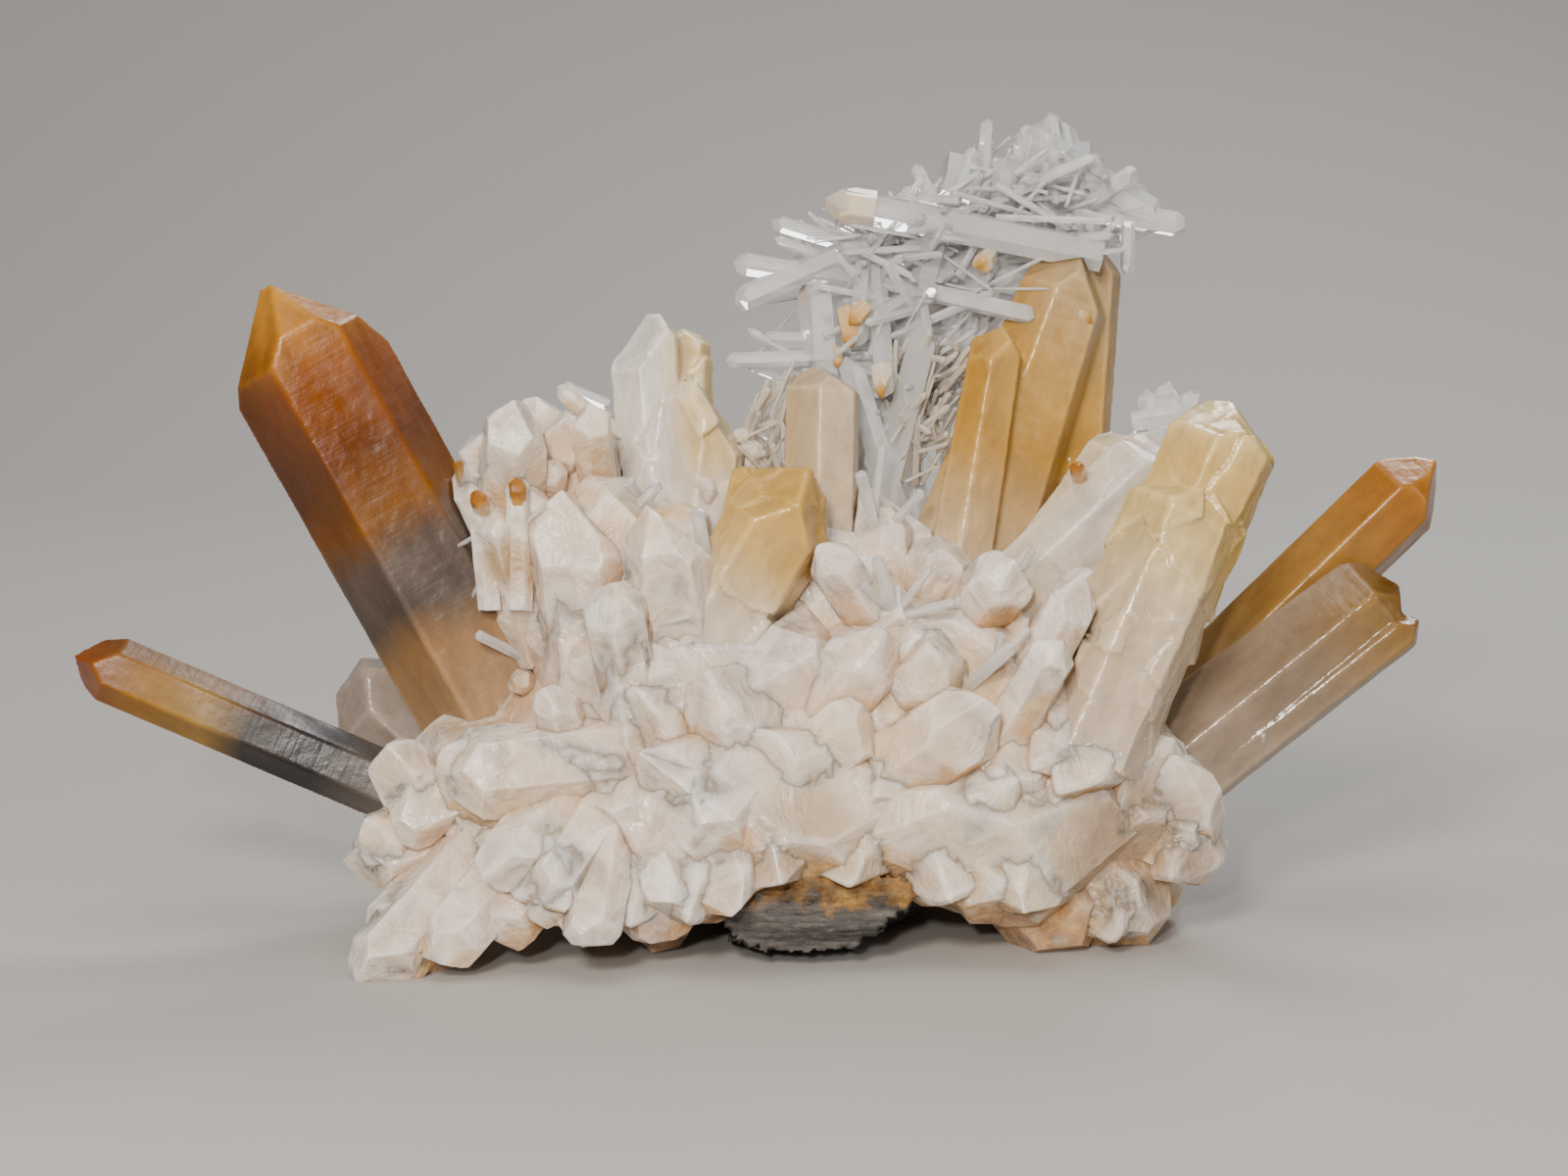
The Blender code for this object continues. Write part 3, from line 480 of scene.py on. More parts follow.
def milky_quartz(name, veil, body, warm, hollow_shade_and_clay, glow, tints=(), glints=(), cells_per_metre=900.0, rust=0.75):
    """Milky quartz, with a painted highlight on its ridges, painted shade with some clay in its hollows,
    rusty where it faces down.
    """
    finish, tree = new_finish(name)
    place = add(tree, COORDINATES).outputs["Object"]
    crest = add(tree, STORED, attribute_name="crest").outputs["Fac"]
    swell = add(tree, STORED, attribute_name="swell").outputs["Fac"]
    under = add(tree, STORED, attribute_name="under").outputs["Fac"]
    veils = add(tree, NOISE, {"Vector": place},
                {"Scale": 75.0, "Detail": 5.0, "Roughness": 0.6, "Distortion": 0.6})
    base = add(tree, RAMP, {0: veils}, stops=[(0.30, body), (0.48, veil), (0.56, veil), (0.70, body)])
    patches = add(tree, NOISE, {"Vector": place}, {"Scale": 38.0, "Detail": 4.0, "Roughness": 0.55})
    warmth = add(tree, REMAP, {0: patches}, {1: 0.50, 2: 0.68, 4: 0.8})
    faces = add(tree, STORED, attribute_name="facet").outputs["Fac"]
    shelter = add(tree, STORED, attribute_name="shelter").outputs["Fac"]
    tones = add(tree, RAMP, {0: faces},
                stops=[(0.0, "CFC0B0"), (0.35, "F2ECE6"), (0.65, "DDD3C9"), (1.0, "FFFFFF")])
    toned = add(tree, MIX, {6: base, 7: tones}, {0: 0.8}, data_type="RGBA", blend_type="MULTIPLY")
    wisps = add(tree, NOISE, {"Vector": place},
                {"Scale": 260.0, "Detail": 5.0, "Roughness": 0.62, "Distortion": 0.8})
    cloudy = add(tree, REMAP, {0: wisps}, {1: 0.36, 2: 0.64, 3: 0.72, 4: 1.08})
    misty = add(tree, VECTOR, {0: toned.outputs[2], "Scale": cloudy}, operation="SCALE")
    warmed = add(tree, MIX, {0: warmth, 6: misty}, {7: linear(warm)}, data_type="RGBA")
    for across, up, reach, code, strength in tints:
        centre = seen(across, up, depth_at(across, up)) * MM
        apart = add(tree, VECTOR, {0: place}, {1: centre}, operation="DISTANCE")
        ragged_reach = add(tree, MATH, {0: patches, 2: apart.outputs["Value"]}, {1: -0.6 * reach * MM},
                           operation="MULTIPLY_ADD")
        near = add(tree, REMAP, {0: ragged_reach}, {1: 0.6 * reach * MM, 2: 0.0, 4: strength},
                   interpolation_type="SMOOTHSTEP")
        warmed = add(tree, MIX, {0: near, 6: warmed.outputs[2]}, {7: linear(code)}, data_type="RGBA")
    # Painted shade, with some clay: a point that hides much of the sky, or lies in a broad dip, is darkened
    # towards a warm tan.
    sheltered_shade_and_clay = add(tree, REMAP, {0: shelter}, {1: 0.22, 2: 0.85, 4: 0.62})
    dip_shade_and_clay = add(tree, REMAP, {0: swell}, {1: -0.4, 2: -2.0, 4: 0.25})
    shade_and_clay_mask = add(tree, MATH, {0: sheltered_shade_and_clay, 1: dip_shade_and_clay}, operation="MAXIMUM")
    shaded_and_clayed = add(tree, MIX, {0: shade_and_clay_mask, 6: warmed.outputs[2]}, {7: linear(hollow_shade_and_clay)}, data_type="RGBA")
    # Painted highlight: sharp ridges are lightened towards a near white.
    rim_highlight = add(tree, REMAP, {0: crest}, {1: 0.10, 2: 0.40, 4: 0.3})
    rim_highlit = add(tree, MIX, {0: rim_highlight, 6: shaded_and_clayed.outputs[2]}, {7: linear("F3EFEB")}, data_type="RGBA")
    ragged = add(tree, NOISE, {"Vector": place}, {"Scale": 230.0, "Detail": 6.0, "Roughness": 0.7})
    wander = add(tree, MATH, {0: ragged, 2: under}, {1: 0.9}, operation="MULTIPLY_ADD")
    stain = add(tree, REMAP, {0: wander}, {1: 0.76, 2: 0.96, 4: rust})
    ochres = add(tree, RAMP, {0: ragged},
                 stops=[(0.35, "5A3C14"), (0.46, "9A6420"), (0.56, "C08C44"), (0.72, "D2BC90")])
    stained = add(tree, MIX, {0: stain, 6: rim_highlit.outputs[2], 7: ochres}, data_type="RGBA")
    polish = add(tree, NOISE, {"Vector": place}, {"Scale": 60.0, "Detail": 2.0})
    gloss = add(tree, REMAP, {0: polish}, {1: 0.42, 2: 0.6, 3: 0.12, 4: 0.28})
    glint = add(tree, MATH, values={0: 0.0, 1: 0.0}, operation="ADD")
    for across, up, reach in glints:
        centre = seen(across, up, depth_at(across, up)) * MM
        apart = add(tree, VECTOR, {0: place}, {1: centre}, operation="DISTANCE")
        near = add(tree, REMAP, {0: apart.outputs["Value"]}, {1: reach * MM, 2: 0.3 * reach * MM},
                   interpolation_type="SMOOTHSTEP")
        glint = add(tree, MATH, {0: glint, 1: near}, operation="MAXIMUM")
    mirror = add(tree, MATH, {0: glint, 2: gloss}, {1: -0.16}, operation="MULTIPLY_ADD")
    dull = add(tree, MATH, {0: mirror, 1: stain}, operation="ADD", use_clamp=True)
    scaled = add(tree, VECTOR, {0: place}, {"Scale": cells_per_metre}, operation="SCALE")
    cells = add(tree, CELLS, {"Vector": scaled}, {"Scale": 1.0})
    within = add(tree, VECTOR, {0: scaled, 1: cells.outputs["Position"]}, operation="SUBTRACT")
    lean = add(tree, VECTOR, {0: cells.outputs["Color"]}, {1: (0.5, 0.5, 0.5)}, operation="SUBTRACT")
    slope = add(tree, VECTOR, {0: within, 1: lean}, operation="DOT_PRODUCT")
    bright = add(tree, MATH, {0: glint}, {1: 0.5 / cells_per_metre, 2: 0.22 / cells_per_metre},
                 operation="MULTIPLY_ADD")
    facets = add(tree, MATH, {0: slope.outputs["Value"], 1: bright}, operation="MULTIPLY")
    grain = add(tree, NOISE, {"Vector": place}, {"Scale": 1500.0, "Detail": 3.0, "Roughness": 0.6})
    height = add(tree, MATH, {0: grain, 2: facets}, {1: 0.00016}, operation="MULTIPLY_ADD")
    etched = add(tree, MATH, {0: wisps, 2: height}, {1: 0.0008}, operation="MULTIPLY_ADD")
    bump = add(tree, BUMP, {"Height": etched}, {"Strength": 0.9, "Distance": 1.0})
    shader = add(tree, PRINCIPLED, {"Base Color": stained.outputs[2], "Roughness": dull, "Normal": bump},
                 {"IOR": QUARTZ_IOR, "Subsurface Weight": glow, "Subsurface Scale": 0.0018,
                  "Subsurface Radius": (1.0, 0.9, 0.8)})
    add(tree, OUTPUT, {"Surface": shader})
    return finish


DRUSE_TINTS = [
    (-31.0, 29.0, 11.0, "A4835E", 0.9), (-9.5, 25.0, 7.0, "C0A588", 0.8), (40.0, 11.0, 14.0, "A08468", 0.85),
    (-10.5, 49.0, 5.0, "D2AC66", 0.9), (9.5, 38.6, 2.6, "DDA94A", 0.9), (-28.5, 43.0, 5.0, "B08C5C", 0.8),
    (5.0, 12.0, 9.0, "B89E80", 0.7), (-2.5, 12.0, 3.0, "C08848", 0.6), (22.0, 30.0, 8.0, "C8B08C", 0.6),
    (-21.0, 51.0, 9.0, "E4D8C8", 0.7),
]
DRUSE_GLINTS = [
    (-30.0, 20.5, 4.5), (-16.0, 23.0, 5.0), (-13.0, 14.0, 6.5), (23.5, 10.0, 5.5), (36.0, 4.5, 3.0),
    (-8.0, 12.0, 5.0), (15.0, 37.0, 3.0),
]
milky = milky_quartz("milky quartz, etched", "FAF1E8", "E6D8CA", "E4CEAC", "D6B084", 0.6, DRUSE_TINTS,
                     DRUSE_GLINTS)
print("finish:", milky.name)

# %% [markdown]
# ## The druse
# The base is quartz that grew in a crowd: lumps and stubby crystals run into each other, and their faces
# are etched. Faceted solids give the crowd. The narrow seats round the big crystals are closed with copies
# of their feet, a hair slimmer, so that crystal and base read as grown together.

# %% Feet that fill the seats
FOOT_SHRINK = 0.45 * MM
SEATED = {
    "amber_point_left": ((-25.5, 21.0, 1.0), (-55.0, 73.5, -6.0), 17.0),
    "amber_point_low": ((-30.0, 13.5, 0.0), (-76.0, 33.0, -3.0), 10.0),
    "smoky_crystal_left": ((-27.0, 14.0, 8.0), (-45.5, 31.5, 7.0), 9.0),
    "amber_point_right": ((41.5, 22.0, 9.0), (74.8, 54.2, 5.0), 8.0),
    "smoky_prism_right": ((35.0, 12.5, 2.0), (70.0, 41.0, 0.0), 11.0),
    "yellow_top_prism": ((35.2, 21.5, -14.0), (53.0, 60.6, -12.0), 5.0),
    "pale_prism": ((10.5, 23.0, -9.0), (46.0, 56.0, -5.0), 16.0),
    "golden_prism": ((18.0, 29.0, 6.0), (35.2, 77.2, 6.0), 13.0),
    "beige_prism": ((6.2, 24.0, -3.0), (7.0, 65.0, -3.0), 20.0),
    "squat_yellow_prism": ((-9.0, 29.0, -12.0), (5.5, 53.6, -17.0), 6.0),
    "white_tower": ((-9.0, 28.0, 3.0), (-13.2, 70.6, 2.0), 17.0),
}


def foot_of(node, root, tip, length):
    """The part of a seated crystal near its root, a hair slimmer than the crystal."""
    start, end = seen(*root) * MM, seen(*tip) * MM
    along = (end - start).normalized()
    body = bmesh.new()
    body.from_mesh(merged(node))
    parts = body.verts[:] + body.edges[:] + body.faces[:]
    cut = bmesh.ops.bisect_plane(body, geom=parts, plane_co=start + along * length * MM, plane_no=along,
                                 clear_outer=True)
    rim = [item for item in cut["geom_cut"] if isinstance(item, bmesh.types.BMEdge)]
    bmesh.ops.holes_fill(body, edges=rim, sides=0)
    bmesh.ops.recalc_face_normals(body, faces=body.faces)
    body.normal_update()
    for vert in body.verts:
        vert.co -= vert.normal * FOOT_SHRINK
    made = bpy.data.meshes.new(node + "_foot")
    body.to_mesh(made)
    body.free()
    return made


feet = [foot_of(node, *row) for node, row in SEATED.items()]
print("feet:", len(feet))

# %% [markdown]
# ## A crisp skin
# A voxel remesh would round every edge by half a millimetre and make the crowd look like wax. The druse
# keeps its own flat faces instead: long edges are split until noise has points to move, and edges between
# faces stay sharp. Each flat face gets a number of its own, "facet", so that neighbouring faces differ a
# little in tone, as they do where light takes another way through the crystal. A last step looks at how
# much of the sky is hidden from each point. It moves hidden points outward, because quartz went on growing
# in the gaps, and stores the share as "shelter", for the painted shade and clay in the hollows.

# %% Split, number and sharpen the faces
GOLDEN_ANGLE = 2.399963


def crisp_mesh(name, meshes, longest, seed):
    """All these meshes in one, with short edges, a number for each flat face, and sharp corners."""
    body = bmesh.new()
    for mesh in meshes:
        body.from_mesh(mesh)
    facet = body.faces.layers.float.new("facet")
    chance = random.Random(seed)
    for face in body.faces:
        face[facet] = chance.random()
    bmesh.ops.triangulate(body, faces=body.faces)
    for _ in range(4):
        long = [edge for edge in body.edges if edge.calc_length() > longest * MM]
        bmesh.ops.subdivide_edges(body, edges=long, cuts=1)
        bmesh.ops.triangulate(body, faces=[face for face in body.faces if len(face.verts) > 3])
    for face in body.faces:
        face.smooth = True
    for edge in body.edges:
        edge.smooth = len(edge.link_faces) == 2 and edge.calc_face_angle() < 0.2
    made = bpy.data.meshes.new(name)
    body.to_mesh(made)
    body.free()
    return made


def store_shelter(target, reach, fill, ways=22):
    """Stores how much of the sky is hidden nearby from each point, and moves hidden points outward."""
    mesh = target.data
    body = bmesh.new()
    body.from_mesh(mesh)
    near = BVHTree.FromBMesh(body)
    body.free()
    rays = []
    for index in range(ways):
        height = 1.0 - 2.0 * (index + 0.5) / ways
        angle = GOLDEN_ANGLE * index
        flat = math.sqrt(1.0 - height * height)
        rays.append(Vector((math.cos(angle) * flat, math.sin(angle) * flat, height)))
    values = []
    for vert in mesh.vertices:
        normal = vert.normal
        origin = vert.co + normal * 0.0003
        open_rays = [ray for ray in rays if ray.dot(normal) > 0.2]
        hidden = sum(1 for ray in open_rays if near.ray_cast(origin, ray, reach)[0])
        values.append(hidden / max(len(open_rays), 1))
    filled = []
    for vert, value in zip(mesh.vertices, values):
        filled.extend(vert.co + vert.normal * fill * min(1.0, max(0.0, value - 0.35) / 0.45))
    mesh.vertices.foreach_set("co", filled)
    mesh.attributes.new("shelter", "FLOAT", "POINT").data.foreach_set("value", values)


# %% Grow the druse skin
druse = keep("druse_skin", crisp_mesh("druse", [merged("milky_druse"), druse_points] + feet, 1.9, 5))
run_tree(druse, ETCH, dent_depth=0.3 * MM, dents_per_metre=170.0, step_depth=0.12 * MM, steps_per_metre=700.0)
run_tree(druse, MARKS, short_blur=3, long_blur=60)
settled(druse, milky, "milky_druse", smooth=False)
store_shelter(druse, 9.0 * MM, 0.45 * MM)
print("sheltered points:", sum(item.value > 0.6 for item in druse.data.attributes["shelter"].data))

# %% [markdown]
# ## Crystals of every size
# Small crystals sit between the large ones at the back, where nothing has worn them. A node tree sows
# them, and it needs a few patterns to pick from. Each crystal stores how far up it a point is, as "along",
# so that its finish can change towards the tip.

# %% Patterns for the crowd
PATTERNS = bpy.data.collections.new("crystal patterns")
chance = random.Random(4)
for number, ratio in enumerate((1.5, 1.9, 2.4, 3.0, 3.8)):
    body, layers = new_crystal_body()
    grow_crystal(body, Vector((0.0, 0.0, -0.6)), Vector((0.0, 0.0, ratio - 0.6)), 1.0,
                 chance.uniform(0.0, 1.0), end_faces(chance), layers)
    pattern = bpy.data.meshes.new("crystal pattern %d" % number)
    body.to_mesh(pattern)
    body.free()
    PATTERNS.objects.link(bpy.data.objects.new(pattern.name, pattern))

# %% [markdown]
# ## A crowd sown on the druse
# The tree scatters points over the skin, keeps those that face up or out, and stands a pattern on each. A
# crystal leans between the surface's own direction and straight away from the middle of the base, with
# some chance, as crystals do that grew from one crowded floor. Small ones are far more common than large
# ones.

# %% The tree that sows crystals
FULL_TURN = 6.28
SOW, start, end = new_geometry_tree("sow", [
    ("Per square metre", "Float", 100000.0), ("Smallest", "Float", 0.001), ("Largest", "Float", 0.003),
    ("Chance lean", "Float", 0.5), ("Lowest", "Float", 0.006), ("Nearest", "Float", -1.0),
    ("Gather", "Float", 0.45), ("Seed", "Int", 1), ("Patterns", "Collection", None),
    ("Finish", "Material", None),
])
place = add(SOW, POSITION)
normal = add(SOW, NORMAL)
facing = add(SOW, SPLIT, {0: normal})
level = add(SOW, SPLIT, {0: place})
upward = add(SOW, COMPARE, {0: facing.outputs["Z"]}, {1: -0.25}, data_type="FLOAT", operation="GREATER_THAN")
above = add(SOW, COMPARE, {0: level.outputs["Z"], 1: start.outputs["Lowest"]}, data_type="FLOAT",
            operation="GREATER_THAN")
swarm = add(SOW, NOISE, {"Vector": place}, {"Scale": 75.0, "Detail": 2.0})
gathered = add(SOW, COMPARE, {0: swarm, 1: start.outputs["Gather"]}, data_type="FLOAT",
               operation="GREATER_THAN")
behind = add(SOW, COMPARE, {0: level.outputs["Y"], 1: start.outputs["Nearest"]}, data_type="FLOAT",
             operation="GREATER_THAN")
high = add(SOW, "FunctionNodeBooleanMath", {0: upward, 1: above}, operation="AND")
fit_place = add(SOW, "FunctionNodeBooleanMath", {0: high, 1: behind}, operation="AND")
chosen = add(SOW, "FunctionNodeBooleanMath", {0: fit_place, 1: gathered}, operation="AND")
points = add(SOW, "GeometryNodeDistributePointsOnFaces",
             {"Mesh": start.outputs["Geometry"], "Selection": chosen,
              "Density": start.outputs["Per square metre"], "Seed": start.outputs["Seed"]})
outward = add(SOW, VECTOR, {0: place}, {1: (0.002, 0.0, 0.004)}, operation="SUBTRACT")
ray = add(SOW, VECTOR, {0: outward}, operation="NORMALIZE")
stray = add(SOW, RANDOM, {"Seed": start.outputs["Seed"]}, {0: (-1.0, -1.0, -1.0), 1: (1.0, 1.0, 1.0)},
            data_type="FLOAT_VECTOR")
loose = add(SOW, VECTOR, {0: stray, "Scale": start.outputs["Chance lean"]}, operation="SCALE")
lifted = add(SOW, VECTOR, {0: points.outputs["Normal"], 1: ray}, operation="ADD")
aim = add(SOW, VECTOR, {0: lifted, 1: loose}, operation="ADD")
toward = add(SOW, "FunctionNodeAlignRotationToVector", {"Vector": aim}, axis="Z")
spin = add(SOW, RANDOM, {"Seed": start.outputs["Seed"]}, data_type="FLOAT")
spin.inputs[3].default_value = FULL_TURN
about = add(SOW, "FunctionNodeAxisAngleToRotation", {"Angle": spin.outputs[1]}, {"Axis": (0.0, 0.0, 1.0)})
turned = add(SOW, "FunctionNodeRotateRotation", {0: toward, 1: about}, rotation_space="LOCAL")
luck = add(SOW, RANDOM, {"Seed": start.outputs["Seed"]}, data_type="FLOAT")
rare = add(SOW, MATH, {0: luck.outputs[1]}, {1: 2.2}, operation="POWER")
size = add(SOW, REMAP, {0: rare, 3: start.outputs["Smallest"], 4: start.outputs["Largest"]})
kinds = add(SOW, "GeometryNodeCollectionInfo", {0: start.outputs["Patterns"]}, {1: True, 2: True})
copies = add(SOW, "GeometryNodeInstanceOnPoints",
             {"Points": points.outputs["Points"], "Instance": kinds, "Rotation": turned, "Scale": size},
             {"Pick Instance": True})
shade = add(SOW, RANDOM, {"Seed": start.outputs["Seed"]}, data_type="FLOAT")
toned = add(SOW, STORE, {"Geometry": copies, "Value": shade.outputs[1]}, {"Name": "tone"}, data_type="FLOAT",
            domain="INSTANCE")
real = add(SOW, "GeometryNodeRealizeInstances", {"Geometry": toned})
dressed = add(SOW, "GeometryNodeSetMaterial", {"Geometry": real, "Material": start.outputs["Finish"]})
SOW.links.new(dressed.outputs[0], end.inputs[0])
print("tree:", SOW.name, "with", len(SOW.nodes), "nodes")

# %% [markdown]
# ## Young quartz
# The small crystals are glassier than the base: greyish and half clear at the root, whiter in the middle,
# with faint yellow in some. Their finish reads the two stored values, and lets part of the light
# straight through by plain transmission, so that their thin edges glow against the base.

# %% The finish of the small crystals


def young_quartz(name, tones, tips, clear):
    """Small crystals: tones are picked by each crystal's own value, tips are laid along it."""
    finish, tree = new_finish(name)
    place = add(tree, COORDINATES).outputs["Object"]
    along = add(tree, STORED, attribute_name="along").outputs["Fac"]
    tone = add(tree, STORED, attribute_name="tone").outputs["Fac"]
    own = add(tree, RAMP, {0: tone}, stops=tones)
    clouds = add(tree, NOISE, {"Vector": place}, {"Scale": 420.0, "Detail": 4.0, "Roughness": 0.6})
    drift = add(tree, MATH, {0: clouds, 2: along}, {1: 0.5}, operation="MULTIPLY_ADD")
    level = add(tree, MATH, {0: drift}, {1: 0.25}, operation="SUBTRACT")
    laid = add(tree, RAMP, {0: level}, stops=tips)
    colour = add(tree, MIX, {6: own, 7: laid}, {0: 1.0}, data_type="RGBA", blend_type="MULTIPLY")
    gloss = add(tree, REMAP, {0: clouds}, {1: 0.42, 2: 0.62, 3: 0.08, 4: 0.3})
    etch = add(tree, NOISE, {"Vector": place}, {"Scale": 1300.0, "Detail": 3.0, "Roughness": 0.6})
    bump = add(tree, BUMP, {"Height": etch}, {"Strength": 0.5, "Distance": 0.00006})
    shader = add(tree, PRINCIPLED, {"Base Color": colour.outputs[2], "Roughness": gloss, "Normal": bump},
                 {"IOR": QUARTZ_IOR, "Transmission Weight": clear, "Subsurface Weight": 0.35,
                  "Subsurface Scale": 0.0015, "Subsurface Radius": (1.0, 0.85, 0.7)})
    add(tree, OUTPUT, {"Surface": shader})
    return finish


small_white = young_quartz(
    "young milky quartz",
    [(0.0, "EEE8E2"), (0.3, "F4F1EE"), (0.55, "EFE6D8"), (0.75, "F0F1F2"), (0.93, "EFDDB4")],
    [(0.1, "DCCFC2"), (0.45, "F2EEEA"), (0.8, "FFFFFF")], 0.25)
capped = young_quartz(
    "yellow-capped quartz", [(0.0, "FFFFFF"), (1.0, "F6DDB4")],
    [(0.2, "DCCFBC"), (0.6, "DCCBAA"), (0.85, "C8A050"), (0.98, "A07020")], 0.1)
print("finish:", small_white.name)

# %% Sow the small and the middle crystals
for name, per_area, smallest, largest, lean, nearest, gather, seed in (
        ("druse_small_crystals", 30000.0, 0.5, 1.5, 0.75, 1.0, 0.50, 3),
        ("druse_middle_crystals", 16000.0, 1.6, 4.6, 0.6, 2.0, 0.40, 8)):
    crowd = keep(name, druse.data.copy())
    run_tree(crowd, SOW, per_square_metre=per_area, smallest=smallest * MM, largest=largest * MM,
             chance_lean=lean, lowest=5.0 * MM, nearest=nearest * MM, gather=gather, seed=seed,
             patterns=PATTERNS, finish=small_white)
    settled(crowd, small_white, smooth=False)
settled(keep("capped_points", placed_crystals("capped", CAPPED_POINTS, 12)), capped,
        smooth=False)

# %% Yellow and amber tips in the spray
SPRAY_TIPS = [
    (12.5, 82.1, 4.2, 6.9, 82.9, 4.0, 3.9, 0.0), (9.4, 71.0, 4.0, 10.3, 66.9, 1.9, 2.6, 1.0),
    (11.5, 71.5, 2.0, 9.6, 69.4, 1.0, 1.9, 1.0), (13.1, 64.9, 1.6, 13.7, 61.3, 0.4, 2.4, 0.0),
    (5.2, 73.0, 6.0, 4.0, 71.7, 6.0, 1.5, 1.0), (8.4, 66.8, 3.0, 8.3, 64.6, 2.0, 1.0, 1.0),
    (25.0, 77.0, 5.0, 24.0, 75.6, 1.5, 2.2, 0.0), (33.0, 72.0, 4.0, 36.5, 69.5, 2.0, 2.4, 0.0),
]
tips = placed_crystals("spray tips", SPRAY_TIPS, 14, find=lambda row: (seen(*row[:3]), seen(*row[3:6])))
settled(keep("spray_tips", tips), capped, smooth=False)

# %% [markdown]
# ## The shale
# A scrap of the rock on which the quartz grew is left under the middle: dark grey shale, which splits
# into thin leaves. Its front stands just proud of the quartz, with a rusty seam where the two meet. It is a
# fine grid that is cut to a ragged outline, and noise that is stretched along the leaves steps and tears it.

# %% A leaf of rock on the front
SHALE_OUTLINE = [
    (-4.6, 5.6), (-4.0, 3.4), (-3.6, 2.0), (-0.9, 0.3), (4.9, 0.0), (9.8, 0.6), (13.0, 2.6),
    (17.4, 6.2), (16.0, 8.5), (9.0, 9.0), (-2.0, 8.6),
]
SHALE_STEP = 0.25
SHALE_CORNER = (-7.0, -1.5)
SHALE_SPAN = (25.0, 11.5)
SHALE_FRONT = -19.0
SHALE_BACK = 9.0


def outline_depth(across, up, outline):
    """How far inside an outline a place is, in millimetres; negative outside."""
    nearest, inside = 1e9, False
    for index, (x1, y1) in enumerate(outline):
        x2, y2 = outline[index - 1]
        dot, square = (across - x1) * (x2 - x1) + (up - y1) * (y2 - y1), (x2 - x1) ** 2 + (y2 - y1) ** 2
        reach = max(0.0, min(1.0, dot / square))
        nearest = min(nearest, math.hypot(across - x1 - reach * (x2 - x1), up - y1 - reach * (y2 - y1)))
        if (y1 > up) != (y2 > up) and across < (x2 - x1) * (up - y1) / (y2 - y1) + x1:
            inside = not inside
    return nearest if inside else -nearest


def wave(across, up, layer):
    """Noise at a place; each layer is a pattern of its own."""
    return noise.noise(Vector((across, up, layer)))


def shale_leaf():
    """The front of the shale: a grid with thin leaves and tears, cut to its outline."""
    body = bmesh.new()
    rows = []
    for j in range(int(SHALE_SPAN[1] / SHALE_STEP)):
        row = []
        for i in range(int(SHALE_SPAN[0] / SHALE_STEP)):
            across, up = SHALE_CORNER[0] + i * SHALE_STEP, SHALE_CORNER[1] + j * SHALE_STEP
            ragged = 0.7 * wave(across * 1.1, up * 1.1, 3.0) + 0.35 * wave(across * 3.0, up * 3.0, 5.0)
            inward = outline_depth(across, up, SHALE_OUTLINE) + ragged
            leaves = 0.9 * math.floor(4.0 * (wave(across * 0.13 + up * 0.1, up * 0.5, 1.0) + 0.5)) / 4.0
            fine = 0.3 * wave(across * 0.5, up * 3.2, 7.0) + 0.15 * wave(across * 2.2, up * 5.0, 2.0)
            raised = -0.35 * min(inward, 3.0) - leaves - fine
            away = SHALE_FRONT + (raised if inward > 0.0 else SHALE_BACK)
            point = seen(across, up, away) * MM
            point.z = max(point.z, 0.0)
            row.append(body.verts.new(point))
        rows.append(row)
    for low, high in zip(rows, rows[1:]):
        for i in range(len(low) - 1):
            body.faces.new((low[i], low[i + 1], high[i + 1], high[i]))
    limit = SHALE_FRONT + SHALE_BACK - 1.0
    back = [face for face in body.faces if all(depth_of(vert.co) > limit for vert in face.verts)]
    bmesh.ops.delete(body, geom=back, context="FACES")
    made = bpy.data.meshes.new("shale leaf")
    body.to_mesh(made)
    body.free()
    return made


finish, tree = new_finish("shale, split and rusty")
place = add(tree, COORDINATES).outputs["Object"]
leaves = add(tree, MAPPING, {"Vector": place},
             {"Rotation": (0.12, 0.16, 0.0), "Scale": (160.0, 160.0, 1500.0)})
layers = add(tree, NOISE, {"Vector": leaves}, {"Scale": 1.0, "Detail": 5.0, "Roughness": 0.65})
greys = add(tree, RAMP, {0: layers},
            stops=[(0.30, "2C2A29"), (0.45, "46423F"), (0.58, "5C5753"), (0.72, "7E7872")])
blotch = add(tree, NOISE, {"Vector": place}, {"Scale": 330.0, "Detail": 6.0, "Roughness": 0.7})
level = add(tree, SPLIT, {0: place})
seam = add(tree, MATH, {0: blotch, 2: level.outputs["Z"]}, {1: 0.009}, operation="MULTIPLY_ADD")
rusty = add(tree, REMAP, {0: seam}, {1: 0.0108, 2: 0.0122, 4: 0.85})
ochres = add(tree, RAMP, {0: blotch}, stops=[(0.35, "3A2B18"), (0.5, "7E5A26"), (0.65, "B58A45")])
stained = add(tree, MIX, {0: rusty, 6: greys, 7: ochres}, data_type="RGBA")
grit = add(tree, NOISE, {"Vector": place}, {"Scale": 1800.0, "Detail": 4.0, "Roughness": 0.7})
relief = add(tree, MATH, {0: layers, 1: grit}, operation="ADD")
bump = add(tree, BUMP, {"Height": relief}, {"Strength": 0.9, "Distance": 0.00025})
sheen = add(tree, REMAP, {0: blotch}, {1: 0.4, 2: 0.6, 3: 0.45, 4: 0.8})
shader = add(tree, PRINCIPLED, {"Base Color": stained.outputs[2], "Roughness": sheen, "Normal": bump},
             {"IOR": 1.5})
add(tree, OUTPUT, {"Surface": shader})
shale = finish

rock = keep("shale_skin", crisp_mesh("shale", [merged("shale_matrix")], 1.2, 6))
run_tree(rock, ETCH, dent_depth=0.5 * MM, dents_per_metre=260.0, step_depth=0.25 * MM, steps_per_metre=900.0)
settled(rock, shale, "shale_matrix", smooth=False)
settled(keep("shale_leaf", shale_leaf()), shale)
